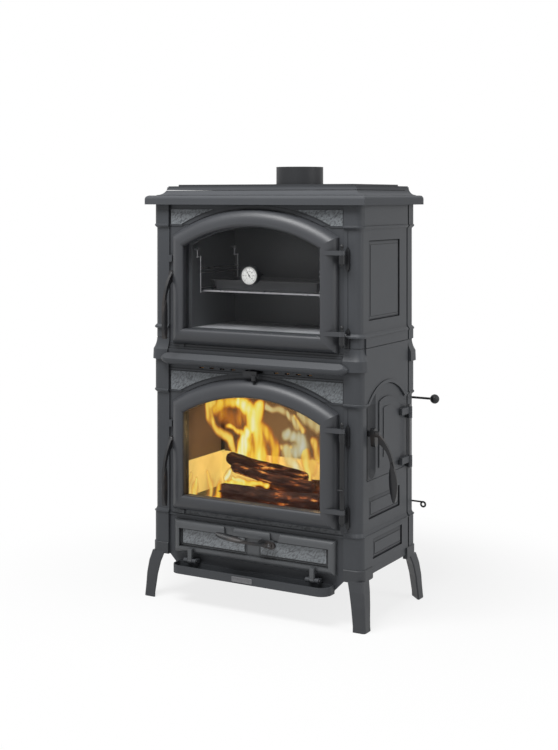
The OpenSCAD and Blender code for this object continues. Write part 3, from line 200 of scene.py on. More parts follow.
paper = Finish("floor_paper", Roughness=1.0, Specular_IOR_Level=0.0)
fibre = paper.noise(60.0)
paper.wear(Base_Color=paper.blend(fibre, (0.84, 0.84, 0.84), (0.88, 0.88, 0.88)))
rays = paper.node("ShaderNodeLightPath", {}, {})
seen = rays["Is Camera Ray"] | rays["Is Glossy Ray"] | rays["Is Transmission Ray"]
away = paper.node("ShaderNodeVectorMath", {"operation": "LENGTH"}, {0: paper.place})["Value"]
white = paper.node(
    "ShaderNodeEmission", {}, {"Color": (1.0, 1.0, 1.0), "Strength": 1.0}
)["Emission"]
white_share = away.smooth(shade_near, shade_far) * (1.0 - least_white) + least_white
paper_mix = paper.node(
    "ShaderNodeMixShader", {}, {0: seen * white_share, 1: paper.surface.outputs[0], 2: white}
)
paper.feed(paper.tree.nodes["Material Output"].inputs["Surface"], paper_mix["Shader"])

floor_mesh = bpy.data.meshes.new("floor")
floor_mesh.from_pydata(
    [(x * floor_half, y * floor_half, 0) for x, y in ((-1, -1), (1, -1), (1, 1), (-1, 1))],
    [], [(0, 1, 2, 3)],
)
floor_mesh.materials.append(paper.material)
floor = bpy.data.objects.new("floor", floor_mesh)
bpy.context.collection.objects.link(floor)

room_strength = 0.23
room = bpy.data.worlds.new("room")
room.use_nodes = True
bpy.context.scene.world = room
room_nodes = room.node_tree.nodes
room_links = room.node_tree.links
room_rays = room_nodes.new("ShaderNodeLightPath")
seen_by = room_rays.outputs["Is Camera Ray"]
for ray in ("Is Glossy Ray", "Is Transmission Ray"):
    either = room_nodes.new("ShaderNodeMath")
    either.operation = "MAXIMUM"
    room_links.new(seen_by, either.inputs[0])
    room_links.new(room_rays.outputs[ray], either.inputs[1])
    seen_by = either.outputs[0]
room_light = room_nodes["Background"]
room_white = room_nodes.new("ShaderNodeBackground")
room_choice = room_nodes.new("ShaderNodeMixShader")
room_links.new(seen_by, room_choice.inputs[0])
for slot, (ground, strength) in enumerate(((room_light, room_strength), (room_white, 1.0)), 1):
    ground.inputs["Color"].default_value = (1.0, 1.0, 1.0, 1.0)
    ground.inputs["Strength"].default_value = strength
    room_links.new(ground.outputs[0], room_choice.inputs[slot])
room_links.new(room_choice.outputs[0], room_nodes["World Output"].inputs["Surface"])


def soft_lamp(name, place, aim, size, watts):
    """A rectangular lamp at a place, turned to face the aim."""
    lamp_data = bpy.data.lights.new(name, "AREA")
    lamp_data.shape = "RECTANGLE"
    lamp_data.size, lamp_data.size_y = size
    lamp_data.energy = watts
    lamp = bpy.data.objects.new(name, lamp_data)
    lamp.location = place
    lamp.rotation_euler = (Vector(aim) - Vector(place)).to_track_quat("-Z", "Y").to_euler()
    bpy.context.collection.objects.link(lamp)


middle = (0.0, 0.0, 0.7)
soft_lamp("lamp_over", (-0.2, -1.5, 3.4), middle, (2.2, 1.2), 118)
soft_lamp("lamp_right", (3.2, 0.2, 1.9), middle, (1.4, 2.4), 32)


# ---- Iron castings -----------------------------------------------------------
# The shell is cast in sand and painted with satin anthracite stove paint, so it
# shows a fine grain and slow patches of gloss. Shade in its grooves and seams is
# painted into its colour.

paint_light = (0.056, 0.060, 0.067)
paint_dark = (0.040, 0.043, 0.048)
painted_shade_dark = (0.008, 0.008, 0.009)
groove_reach = 13 * MM
grain_depth = 0.4 * MM
sand_scale = 900.0
patch_scale = 9.0


class Paint(Finish):
    """Stove paint over sand-cast iron, with painted shade where the casting folds in."""

    def __init__(
        self, name, light=paint_light, dark=paint_dark, rough=0.5, grain=0.4, gloss=0.3, shade=0.9
    ):
        super().__init__(name, Specular_IOR_Level=gloss)
        patches = self.noise(patch_scale, 4.0)
        sand = self.noise(sand_scale, 2.0, 0.6)
        coarse = self.noise(sand_scale / 4, 2.0)
        speck = sand.smooth(0.35, 0.75)
        # Ambient occlusion paints shade into the colour where the casting folds in.
        around = self.node(
            "ShaderNodeAmbientOcclusion",
            {"only_local": True, "samples": 6},
            {"Distance": groove_reach},
        )
        openness = around["AO"].smooth(0.15, 0.95)
        plain = self.blend(patches * 0.5 + speck * 0.5, dark, light)
        self.colour = self.blend((1.0 - openness) * shade, plain, painted_shade_dark)
        self.grain = self.bump(sand * 0.6 + coarse * 0.4, grain, grain_depth)
        self.wear(
            Base_Color=self.colour,
            Roughness=patches * 0.1 + speck * 0.06 + (rough - 0.08),
            Normal=self.grain,
        )


shell = Paint("iron_paint")
shell.cover(
    "foot_frame", "plinth", "lower_side_left", "lower_side_right", "lower_back",
    "mid_plate", "upper_side_left", "upper_side_right", "upper_back", "firebox_floor",
    "riddling_grate", "register_plate", "front_rail", "ash_front",
)

# Painted shade in the side door's scoop, darkest at its front edge and lighter towards its back.
scoop_edge, scoop_middle, scoop_back = -127 * MM, -108 * MM, -72 * MM
scoop_low, scoop_high = 425 * MM, 640 * MM
side_paint = Paint("side_door_paint")
side_y, side_z = side_paint.axes["Y"], side_paint.axes["Z"]
in_scoop = (side_y < scoop_back) * (side_z > scoop_low) * (side_z < scoop_high)
scoop_painted_shade = in_scoop * (0.9 - side_y.smooth(scoop_edge, scoop_middle) * 0.55)
side_paint.wear(Base_Color=side_paint.blend(scoop_painted_shade, side_paint.colour, painted_shade_dark))
side_paint.cover("side_door")

Paint("leg_paint", (0.050, 0.053, 0.058), (0.038, 0.040, 0.044)).cover(
    "leg_front_left", "leg_front_right", "leg_rear_left", "leg_rear_right"
)
Paint("lip_paint", (0.054, 0.058, 0.064), (0.040, 0.043, 0.048)).cover("ash_lip")
Paint(
    "top_paint", (0.078, 0.082, 0.089), (0.060, 0.063, 0.069), rough=0.6, gloss=0.12, shade=0.8
).cover("top_plate")
Paint("hob_paint", (0.040, 0.043, 0.048), (0.030, 0.032, 0.035)).cover("hob_plate")
Paint("collar_paint", (0.027, 0.028, 0.031), (0.019, 0.020, 0.022)).cover("flue_collar")
Paint(
    "rim_paint", (0.052, 0.055, 0.061), (0.038, 0.040, 0.045), rough=0.42, grain=0.2, gloss=0.4
).cover("fire_door_frame", "oven_door_frame")


# ---- Hammered fields ---------------------------------------------------------
# The corners beside each arch and both fields of the ash door are cast with a
# leather-like pattern of slanting dents, and a rough band runs below the fire.
# Their colour is painted light and shade: lighter where the relief is raised and
# darker in the dents, and the dented fields are painted paler overall, as light from above.

# The frame's origin, in the stove's own axes.
body_x = 27 * MM
body_y = 172.25 * MM

dent_scale = 210.0
dent_stretch = (1.0, 1.0, 2.2)
dent_depth = 0.9 * MM
dent_painted_light = (0.200, 0.215, 0.228)
dent_painted_shade = (0.062, 0.067, 0.072)


def dents(finish, slant, mask, low=dent_painted_shade, high=dent_painted_light):
    """Slanting dents where the mask is 1, in relief and as painted light and shade on the colour.
    """
    across = finish.stretched((0, slant, 0), dent_stretch)
    swirl = finish.noise(dent_scale * 1.3, 3.0, 0.62, vector=across)
    lumps = finish.node(
        "ShaderNodeTexVoronoi", {"feature": "SMOOTH_F1"},
        {"Vector": across, "Scale": dent_scale, "Smoothness": 0.7},
    )["Distance"]
    relief = swirl * 0.7 + (1.0 - lumps) * 0.3
    # Painted light and shade: the colour is light where the relief is high and dark where it is
    # low.
    leather = finish.blend(relief.smooth(0.30, 0.62), low, high)
    finish.colour = finish.blend(mask, finish.colour, leather)
    finish.grain = finish.bump(relief * mask, 1.0, dent_depth, under=finish.grain)
    finish.wear(Base_Color=finish.colour, Normal=finish.grain)


corner_x, arch_radius, corner_slant = 301 * MM, 563 * MM, 0.8
band_x, band_low, band_high, band_slant = 296 * MM, 261 * MM, 279 * MM, 1.45
band_painted_light = (0.080, 0.085, 0.092)
band_painted_shade = (0.022, 0.024, 0.026)

for casting, arch_z, low_z, high_z in (
    ("upper_front", 666.7 * MM, 1164 * MM, 1212 * MM),
    ("lower_front", 152.7 * MM, 648 * MM, 709 * MM),
):
    front = Paint(casting + "_paint")
    across_x, height_z = abs(front.axes["X"] + body_x), front.axes["Z"]
    from_arch = (across_x ** 2.0 + (height_z - arch_z) ** 2.0) ** 0.5
    level_mask = (across_x < corner_x) * (height_z > low_z) * (height_z < high_z)
    dents(front, corner_slant, level_mask * (from_arch > arch_radius))
    if casting == "lower_front":
        band_mask = (across_x < band_x) * (height_z > band_low) * (height_z < band_high)
        dents(front, band_slant, band_mask, band_painted_shade, band_painted_light)
    front.cover(casting)

field_inner, field_outer = 28 * MM, 251 * MM
field_low, field_high, field_slant = 178 * MM, 220 * MM, 0.9
ash_paint = Paint(
    "ash_door_paint", (0.082, 0.087, 0.093), (0.066, 0.070, 0.075), rough=0.4, grain=0.2, gloss=0.45
)
ash_x, ash_z = abs(ash_paint.axes["X"] + body_x), ash_paint.axes["Z"]
across_mask = (ash_x > field_inner) * (ash_x < field_outer)
dents(ash_paint, field_slant, across_mask * (ash_z > field_low) * (ash_z < field_high))
ash_paint.cover("ash_door")


# ---- Black fittings ----------------------------------------------------------
# Levers, hinge rods and the rods at the back are forged or cast and painted a
# deeper black. Brown patches on the levers are a painted sheen of warm reflected light.

black_light = (0.017, 0.018, 0.020)
black_dark = (0.010, 0.0105, 0.012)
Paint(
    "fitting_paint", black_light, black_dark, rough=0.45, grain=0.14, gloss=0.35, shade=0.4
).cover("fire_hinge_rod", "oven_hinge_pins", "air_slider", "register_rod", "shaker_rod")

painted_sheen_brown = (0.060, 0.047, 0.041)
lever = Paint(
    "lever_paint", black_light, black_dark, rough=0.42, grain=0.12, gloss=0.4, shade=0.3
)
# Painted sheen: brown patches over the levers stand in for warm reflected light.
sheen_patches = lever.noise(16.0, 2.0).smooth(0.45, 0.62)
lever.wear(Base_Color=lever.blend(sheen_patches * 0.4, lever.colour, painted_sheen_brown))
lever.cover("side_door_handle", "fire_door_handle", "oven_door_handle", "ash_door_handle")


# ---- Steel -------------------------------------------------------------------
# Hinge pins, tie bolts, glass clips and the ash pan are plain steel. The oven's
# racks are plated wire.

steel = Finish("plain_steel", Metallic=1.0)
streaks = steel.noise(260.0, 4.0, 0.6)
steel.wear(
    Base_Color=steel.blend(streaks, (0.10, 0.10, 0.105), (0.19, 0.19, 0.195)),
    Roughness=streaks * 0.25 + 0.3,
)
steel.cover(
    "ash_hinge_pins", "side_hinge_pin", "tie_rods", "fire_door_clips", "oven_door_clips", "ash_pan"
)

wire = Finish("plated_wire", Metallic=1.0)
tarnish = wire.noise(60.0, 3.0)
wire.wear(
    Base_Color=wire.blend(tarnish, (0.30, 0.30, 0.32), (0.55, 0.55, 0.57)),
    Roughness=tarnish * 0.2 + 0.2,
)
wire.cover("oven_rack_left", "oven_rack_right", "oven_shelf")


# ---- Oven --------------------------------------------------------------------
# The liner is folded from dark enamelled sheet. Two pale refractory slabs lie
# loose on its floor, and a low baking tray stands on the wire shelf.

enamel = Finish("oven_enamel", Specular_IOR_Level=0.5)
cloud = enamel.noise(5.0, 4.0)
enamel.wear(
    Base_Color=enamel.blend(cloud, (0.085, 0.092, 0.100), (0.118, 0.126, 0.136)),
    Roughness=cloud * 0.15 + 0.3,
    Normal=enamel.bump(enamel.noise(40.0), 0.05, 0.5 * MM),
)
enamel.cover("oven_box")

slab = Finish("oven_slab", Specular_IOR_Level=0.2)
crumb = slab.noise(420.0, 4.0, 0.7)
stain = slab.noise(14.0, 3.0)
slab.wear(
    Base_Color=slab.blend(crumb * 0.5 + stain * 0.5, (0.26, 0.27, 0.285), (0.46, 0.47, 0.49)),
    Roughness=crumb * 0.1 + 0.7,
    Normal=slab.bump(crumb, 0.3, 0.5 * MM),
)
slab.cover("oven_floor_slabs")


def at(x, y, z):
    """A place given in the stove's own millimetres, as the frame's metres."""
    return Vector((x * MM - body_x, y * MM - body_y, z * MM))


def add_piece(name, mesh, finish, body, smooth=True):
    """An object of one mesh and one finish that rides on a body."""
    mesh.materials.append(finish.material)
    for face in mesh.polygons:
        face.use_smooth = smooth
    piece = bpy.data.objects.new(name, mesh)
    bpy.context.collection.objects.link(piece)
    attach(piece, body)
    return piece


def skin(loops, name):
    """A mesh drawn over loops of as many points each, capped at both ends."""
    build = bmesh.new()
    rings = [[build.verts.new(point) for point in loop] for loop in loops]
    count = len(rings[0])
    for low, high in zip(rings, rings[1:]):
        for i in range(count):
            j = (i + 1) % count
            build.faces.new((low[i], low[j], high[j], high[i]))
    build.faces.new(rings[0][::-1])
    build.faces.new(rings[-1])
    bmesh.ops.recalc_face_normals(build, faces=build.faces)
    mesh = bpy.data.meshes.new(name)
    build.to_mesh(mesh)
    build.free()
    return mesh


def add_skin(name, loops, finish, body, crisp=35):
    """A skinned piece whose shading breaks where faces meet at more than crisp degrees."""
    piece = add_piece(name, skin(loops, name), finish, body)
    piece.data.set_sharp_from_angle(angle=math.radians(crisp))


corner_steps = 5


def round_box(x0, y0, x1, y1, radius):
    """The outline of a rectangle with round corners, as (x, y) pairs."""
    left, right, low, high = x0 + radius, x1 - radius, y0 + radius, y1 - radius
    points = []
    for turn, (x, y) in enumerate(((right, high), (left, high), (left, low), (right, low))):
        for step in range(corner_steps + 1):
            angle = math.pi / 2 * (turn + step / corner_steps)
            points.append((x + radius * math.cos(angle), y + radius * math.sin(angle)))
    return points


tray_x, tray_y0, tray_y1, tray_z, tray_corner = 190, 68, 238, 961.0, 16
tray_h, tray_wall, tray_slope, tray_lip = 30, 1.2, 7, 6
tray_steps = (
    (tray_slope, 0.0), (0.0, tray_h), (-tray_lip, tray_h), (-tray_lip, tray_h + tray_wall),
    (tray_wall, tray_h + tray_wall), (tray_slope + tray_wall, tray_wall),
)
tray_loops = []
for inset, up in tray_steps:
    outline = round_box(
        -tray_x + inset, tray_y0 + inset, tray_x - inset, tray_y1 - inset, tray_corner
    )
    tray_loops.append([at(x, y, tray_z + up) for x, y in outline])
tray_enamel = Finish("tray_enamel", Specular_IOR_Level=0.5)
baked = tray_enamel.noise(22.0, 4.0)
tray_enamel.wear(
    Base_Color=tray_enamel.blend(baked, (0.040, 0.042, 0.046), (0.066, 0.069, 0.074)),
    Roughness=baked * 0.2 + 0.3,
)
add_skin("baking_tray", tray_loops, tray_enamel, "stove")


# ---- Fire chamber ------------------------------------------------------------
# Pale bricks stand round the fire, and its light on them is painted in as a glow.
# Above them the walls are lined with steel sheet that the heat has turned brown,
# with a faint painted glow of firelight.

brick = Finish("firebrick", Specular_IOR_Level=0.1, Emission_Strength=1.0)
grit = brick.noise(500.0, 5.0, 0.7)
soot = brick.noise(12.0, 4.0).smooth(0.4, 0.8)
fired_clay = brick.blend(soot * 0.5 + grit * 0.3, (0.72, 0.60, 0.36), (0.42, 0.32, 0.17))
# Painted firelight: the bricks' emission, brighter in slow patches.
lick = brick.noise(4.0, 2.0).smooth(0.3, 0.7)
painted_firelight = brick.blend(lick * 0.5 + grit * 0.2, (0.34, 0.25, 0.055), (0.78, 0.66, 0.19))
brick.wear(
    Base_Color=fired_clay,
    Emission_Color=painted_firelight,
    Roughness=grit * 0.1 + 0.8,
    Normal=brick.bump(grit, 0.4, 0.6 * MM),
)
brick.cover("firebrick_left", "firebrick_right", "firebrick_back")

browned = Finish("browned_steel", Specular_IOR_Level=0.3, Emission_Strength=1.0)
rust = browned.noise(8.0, 5.0, 0.6)
browned.wear(
    Base_Color=browned.blend(rust, (0.085, 0.058, 0.038), (0.14, 0.098, 0.068)),
    # The emission is a faint painted glow of firelight on the sheet; the brown is its heat tint.
    Emission_Color=browned.blend(rust, (0.008, 0.006, 0.005), (0.022, 0.015, 0.010)),
    Roughness=rust * 0.2 + 0.5,
    Normal=browned.bump(browned.noise(300.0), 0.1, 0.3 * MM),
)
browned.cover("liner_plates", "baffle_plate")


fire_tint = (1.0, 0.62, 0.26)
fire_size = 40 * MM


def fire_lamp(name, place, watts):
    """A small warm lamp inside the fire, which lights the bricks and the doors."""
    lamp_data = bpy.data.lights.new(name, "POINT")
    lamp_data.color = fire_tint
    lamp_data.energy = watts
    lamp_data.shadow_soft_size = fire_size
    lamp = bpy.data.objects.new(name, lamp_data)
    lamp.location = place
    bpy.context.collection.objects.link(lamp)


fire_lamp("fire_glow_left", at(-150, 200, 470), 1.2)
fire_lamp("fire_glow_right", at(120, 220, 480), 0.9)


# ---- Fuel --------------------------------------------------------------------
# Four split logs lie across the grate on a bed of embers. Their bark is
# charred into ridges, and it glows where the fire has eaten into it.

char = Finish("charred_bark", Specular_IOR_Level=0.2, Emission_Strength=1.0)
along = char.stretched((0, 0, 0), (3.2, 1.0, 1.0))
fissure = char.noise(60.0, 4.0, 0.6, vector=along)
ember_spots = char.noise(14.0, 3.0, 0.6)
hot = fissure.smooth(0.50, 0.66) * ember_spots.smooth(0.42, 0.62)
char.wear(
    Base_Color=char.blend(fissure.smooth(0.3, 0.7), (0.012, 0.009, 0.008), (0.085, 0.045, 0.028)),
    Emission_Color=char.stops(
        hot,
        (0.0, (0.020, 0.005, 0.002)),
        (0.35, (0.10, 0.022, 0.006)),
        (0.7, (0.45, 0.10, 0.015)),
        (1.0, (0.90, 0.42, 0.08)),
    ),
    Roughness=fissure * 0.1 + 0.82,
    Normal=char.bump(fissure, 0.9, 2.5 * MM),
)
log_rings, log_sides = 44, 36
end_share, end_slope = 0.72, 9.0
sag_share, sag_waves = 0.16, 1.7
flat_share = 0.16
ridge_share, ridge_scale = 0.20, 3.2
chip_share, chip_scale = 0.09, 9.0


def split_log(name, start, end, radius, seed):
    """A charred log from start to end, ridged along its length and broken at its ends."""
    axis = (end - start).normalized()
    side = axis.cross(Vector((0, 0, 1))).normalized()
    up = side.cross(axis)
    loops = []
    for i in range(log_rings + 1):
        part = i / log_rings
        end_taper = min(1.0, end_share + end_slope * min(part, 1.0 - part))
        sag = math.sin(part * math.pi * sag_waves + seed) * radius * sag_share
        loop = []
        for j in range(log_sides):
            angle = 2 * math.pi * j / log_sides
            flat = 1.0 - flat_share * max(0.0, math.cos(angle * 3 + seed))
            way = side * math.cos(angle) + up * math.sin(angle)
            ridge = noise.noise(way * ridge_scale + Vector((seed * 7.0, part * 2.2, 0.0)))
            chip = noise.noise(way * chip_scale + Vector((seed * 3.0, part * 9.0, 4.0)))
            reach = radius * end_taper * (flat + ridge_share * ridge + chip_share * chip)
            loop.append(start.lerp(end, part) + way * reach + up * sag)
        loops.append(loop)
    add_piece(name, skin(loops, name), char, "stove")


split_log("log_lower", at(-176, 97, 324), at(190, 95, 333), 27 * MM, 1.0)
split_log("log_front", at(-146, 122, 399), at(146, 118, 366), 17 * MM, 2.0)
split_log("log_back", at(-186, 162, 420), at(98, 158, 376), 22 * MM, 3.0)
split_log("log_rear", at(-120, 236, 330), at(188, 228, 338), 25 * MM, 4.0)

ember_x, ember_y0, ember_y1, ember_z = 250, 45, 322, 287.5
ember_columns, ember_rows = 100, 56
bed_height, coal_height, bed_foot = 7, 9, 0.3
coal_scale, crumble_scale = 0.055, 0.09
slope_x, slope_y = 7, 4

build = bmesh.new()
ember_top = []
for row in range(ember_rows + 1):
    for column in range(ember_columns + 1):
        u, v = column / ember_columns, row / ember_rows
        x = -ember_x + 2 * ember_x * u
        y = ember_y0 + (ember_y1 - ember_y0) * v
        edge = min(1.0, slope_x * min(u, 1 - u)) * min(1.0, slope_y * min(v, 1 - v))
        blocks = noise.cell(Vector((x * coal_scale, y * coal_scale, 0.0)))
        crumble = noise.noise(Vector((x * crumble_scale, y * crumble_scale, 2.0)))
        rise = bed_height + coal_height * abs(blocks * 0.5 + 0.5 * crumble)
        ember_top.append(build.verts.new(at(x, y, ember_z + edge * rise)))
wide = ember_columns + 1
for row in range(ember_rows):
    for column in range(ember_columns):
        first = row * wide + column
        corners = (first, first + 1, first + wide + 1, first + wide)
        build.faces.new([ember_top[k] for k in corners])
rim = [ember_top[k] for k in (
    *range(ember_columns),
    *range(ember_columns, ember_rows * wide + ember_columns, wide),
    *range(ember_rows * wide + ember_columns, ember_rows * wide, -1),
    *range(ember_rows * wide, 0, -wide),
)]
foot = [build.verts.new((*vert.co.xy, (ember_z - bed_foot) * MM)) for vert in rim]
for i in range(len(rim)):
    j = (i + 1) % len(rim)
    build.faces.new((foot[i], foot[j], rim[j], rim[i]))
build.faces.new(foot[::-1])
ember_mesh = bpy.data.meshes.new("ember_bed")
build.to_mesh(ember_mesh)
build.free()

embers = Finish("ember_bed", Specular_IOR_Level=0.1, Emission_Strength=1.0)
coal = embers.node(
    "ShaderNodeTexVoronoi", {"feature": "DISTANCE_TO_EDGE"},
    {"Vector": embers.place, "Scale": 60.0},
)["Distance"]
flush = embers.noise(16.0, 3.0).smooth(0.35, 0.65)
embers.wear(
    Base_Color=embers.blend(coal.smooth(0.0, 0.3), (0.03, 0.02, 0.018), (0.16, 0.13, 0.12)),
    Emission_Color=embers.stops(
        (1.0 - coal.smooth(0.0, 0.22)) * flush,
        (0.0, (0.02, 0.005, 0.002)),
        (0.5, (0.5, 0.11, 0.015)),
        (1.0, (0.95, 0.45, 0.09)),
    ),
    Roughness=coal * 0.1 + 0.85,
    Normal=embers.bump(coal, 0.8, 3 * MM),
)
add_piece("ember_bed", ember_mesh, embers, "stove")


# ---- Flames ------------------------------------------------------------------
# Each group of flames is one thin curved sheet cut to the tongues' outlines. Two
# numbers at each point say how hot and how pale it is there, and give its colour.

flame = Finish(
    "flame", Base_Color=(0.0, 0.0, 0.0, 1.0), Roughness=1.0, Specular_IOR_Level=0.0,
    Emission_Strength=1.0,
)
heat_in = flame.node("ShaderNodeAttribute", {"attribute_name": "flame_heat"}, {})["Fac"]
pale_in = flame.node("ShaderNodeAttribute", {"attribute_name": "flame_pale"}, {})["Fac"]
hot_colour = flame.stops(
    heat_in,
    (0.0, (0.42, 0.07, 0.008)),
    (0.24, (0.90, 0.26, 0.02)),
    (0.42, (1.0, 0.58, 0.045)),
    (0.66, (1.0, 0.86, 0.16)),
    (0.95, (1.0, 0.97, 0.60)),
)
pale_colour = flame.stops(
    heat_in,
    (0.0, (0.35, 0.20, 0.08)),
    (0.35, (0.66, 0.54, 0.24)),
    (0.6, (0.72, 0.70, 0.46)),
    (0.9, (0.80, 0.84, 0.74)),
)
flame.wear(
    Emission_Color=flame.blend(pale_in, hot_colour, pale_colour),
    Alpha=heat_in.smooth(0.03, 0.50) * (1.0 - pale_in * 0.25),
)
flame_step = 3.0
fade_width = 14
sway, sway_x, sway_z = 16, 0.016, 0.010
flicker, flicker_x, flicker_z = 5, 0.05, 0.03
wisp_share, wisp_x, wisp_z = 0.45, 0.075, 0.014
bow_x, bow_z = 0.021, 0.012
air_seed = 1795545114
tongue_edge = 2.4
least_heat = 0.035
smallest_island = 24


def near_stroke(place, stroke):
    """How near a place (x, z) is to a stroke of (x, z, half width) points: 1 on it."""
    best = 0.0
    for (x0, z0, w0), (x1, z1, w1) in zip(stroke, stroke[1:]):
        run_x, run_z = x1 - x0, z1 - z0
        part = ((place[0] - x0) * run_x + (place[1] - z0) * run_z) / (run_x ** 2 + run_z ** 2)
        part = min(1.0, max(0.0, part))
        away = math.hypot(place[0] - x0 - part * run_x, place[1] - z0 - part * run_z)
        width = w0 + (w1 - w0) * part
        best = max(best, math.exp(-((away / width) ** tongue_edge)))
    return best


def flame_at(x, z, strokes, seed):
    """How hot and how pale the flame is at (x, z), after the air has bent the strokes."""
    bent = noise.noise_vector(Vector((x * sway_x, z * sway_z, seed)))
    fine = noise.noise_vector(Vector((x * flicker_x, z * flicker_z, seed + 5.0)))
    place = (x + sway * bent.x + flicker * fine.x, z + sway * bent.y + flicker * fine.y)
    wisp = noise.noise(Vector((place[0] * wisp_x, place[1] * wisp_z, seed + 9.0)))
    heat = pale = 0.0
    for strength, paleness, stroke in strokes:
        value = strength * near_stroke(place, stroke)
        if value > heat:
            heat, pale = value, paleness
    return heat * (0.80 + wisp_share * wisp), pale


def drop_crumbs(build):
    """Delete loose patches of fewer faces than the smallest island, and bare points."""
    visited, crumbs = set(), []
    for face in build.faces:
        if face in visited:
            continue
        visited.add(face)
        island, queue = [], [face]
        while queue:
            current = queue.pop()
            island.append(current)
            for edge in current.edges:
                for other in edge.link_faces:
                    if other not in visited:
                        visited.add(other)
                        queue.append(other)
        if len(island) < smallest_island:
            crumbs += island
    bmesh.ops.delete(build, geom=crumbs, context="FACES_ONLY")
    bare = [vert for vert in build.verts if not vert.link_faces]
    bmesh.ops.delete(build, geom=bare, context="VERTS")


def flame_sheet(name, depth, area, strokes, curl, seed):
    """One sheet of flames at a depth, over area (x0, z0, x1, z1)."""
    x0, z0, x1, z1 = area
    columns, rows = int((x1 - x0) / flame_step), int((z1 - z0) / flame_step)
    build = bmesh.new()
    heat_layer = build.verts.layers.float.new("flame_heat")
    pale_layer = build.verts.layers.float.new("flame_pale")
    grid = []
    for row in range(rows + 1):
        line = []
        for column in range(columns + 1):
            x, z = x0 + column * flame_step, z0 + row * flame_step
            heat, pale = flame_at(x, z, strokes, seed)
            margin = min(x - x0, x1 - x, z - z0, z1 - z)
            edge = min(1.0, max(0.0, margin / fade_width))
            bow = curl * math.sin(x * bow_x + z * bow_z + seed)
            vert = build.verts.new(at(x, depth + bow, z))
            vert[heat_layer], vert[pale_layer] = heat * edge, pale
            line.append(vert)
        grid.append(line)
    for low, high in zip(grid, grid[1:]):
        for i in range(columns):
            corners = (low[i], low[i + 1], high[i + 1], high[i])
            if max(vert[heat_layer] for vert in corners) > least_heat:
                build.faces.new(corners)
    drop_crumbs(build)
    mesh = bpy.data.meshes.new(name)
    build.to_mesh(mesh)
    build.free()
    add_piece(name, mesh, flame, "stove")


# Without a seed of its own the bent air would differ from run to run.
noise.seed_set(air_seed)
flame_sheet("flame_left", 176, (-300, 380, 0, 650), (
    (1.10, 0.0, ((-139, 423, 34), (-131, 460, 30), (-128, 486, 22), (-114, 513, 18))),
    (1.00, 0.0, ((-97, 522, 18), (-95, 547, 20), (-101, 576, 20), (-131, 595, 24),
                 (-156, 608, 20))),
    (0.78, 0.0, ((-71, 419, 34), (-76, 458, 30), (-76, 494, 22), (-80, 530, 18), (-80, 595, 16))),
    (0.62, 0.1, ((-182, 441, 14), (-199, 472, 16), (-234, 499, 18), (-267, 533, 20),
                 (-273, 562, 20), (-251, 582, 16))),
    (0.48, 0.0, ((-17, 413, 20), (-17, 456, 22), (-42, 494, 20), (-67, 531, 14))),
    (0.52, 0.0, ((-173, 603, 24), (-221, 585, 24), (-243, 561, 20))),
    (0.36, 0.0, ((-212, 556, 34), (-182, 533, 34), (-139, 554, 34), (-139, 580, 30))),
    (0.66, 0.0, ((-199, 513, 10), (-165, 507, 10), (-139, 503, 14))),
    (0.50, 0.0, ((-105, 470, 12), (-101, 496, 12))),
), 9, 1.0)
flame_sheet("flame_right", 186, (-90, 340, 175, 650), (
    (0.60, 0.7, ((-56, 596, 10), (-15, 581, 14), (23, 559, 16), (47, 539, 18))),
    (0.62, 0.3, ((39, 567, 8), (55, 547, 10), (72, 527, 12))),
    (0.60, 0.8, ((63, 576, 14), (88, 554, 18), (124, 539, 18))),
    (0.80, 1.0, ((10, 500, 18), (59, 501, 26), (67, 477, 26), (47, 447, 26))),
    (0.70, 0.7, ((14, 451, 22), (27, 412, 22), (59, 398, 16))),
    (0.70, 0.2, ((80, 464, 16), (84, 429, 18), (82, 372, 10))),
    (0.55, 0.2, ((108, 502, 12), (122, 475, 14), (124, 440, 14))),
    (0.52, 0.4, ((-19, 455, 10), (6, 455, 12), (31, 459, 12))),
    (0.50, 0.3, ((108, 431, 18), (100, 402, 16))),
), 8, 2.0)
flame_sheet("flame_under", 112, (-190, 335, 20, 405), (
    (0.95, 0.3, ((-168, 366, 8), (-151, 390, 9), (-140, 409, 6))),
    (0.75, 0.0, ((-159, 353, 12), (-117, 368, 14), (-67, 366, 12), (-21, 360, 9))),
    (0.85, 0.2, ((-134, 377, 7), (-100, 373, 7))),
), 4, 3.0)
flame_sheet("flame_low", 74, (-300, 289, -150, 420), (
    (0.55, 0.3, ((-285, 317, 12), (-272, 355, 8), (-268, 377, 5))),
    (0.70, 0.2, ((-257, 310, 12), (-253, 343, 10), (-248, 368, 5))),
    (0.50, 0.2, ((-199, 316, 16), (-191, 364, 16), (-199, 391, 8))),
    (0.60, 0.0, ((-161, 317, 18), (-157, 346, 14), (-148, 372, 8))),
), 4, 4.0)


# ---- Thermometer -------------------------------------------------------------
# A black-rimmed dial on the oven's glass. Its white face carries a scale of
# ticks and figures in degrees, under a domed lens.

dial_x, dial_y, dial_z = 0.0, -19.0, 1013.5
dial_centre = (dial_x, dial_y, dial_z)
Paint(
    "thermometer_black", black_light, black_dark, rough=0.35, grain=0.1, gloss=0.5, shade=0.2
).cover("thermometer_case")
hand_paint = Finish("thermometer_hand", Roughness=0.4)
hand_tone = hand_paint.noise(200.0)
hand_paint.wear(
    Base_Color=hand_paint.blend(hand_tone, (0.010, 0.010, 0.010), (0.022, 0.020, 0.020))
)
hand_paint.cover("thermometer_pointer")

dial_white = Finish("dial_enamel", Specular_IOR_Level=0.5)
gloss = dial_white.noise(40.0)
dial_white.wear(
    Base_Color=dial_white.blend(gloss, (0.60, 0.60, 0.58), (0.72, 0.72, 0.70)),
    Roughness=gloss * 0.1 + 0.25,
)
dial_ink = Finish("dial_ink", Roughness=0.5)
ink_tone = dial_ink.noise(300.0)
dial_ink.wear(
    Base_Color=dial_ink.blend(ink_tone, (0.008, 0.008, 0.008), (0.016, 0.016, 0.016))
)


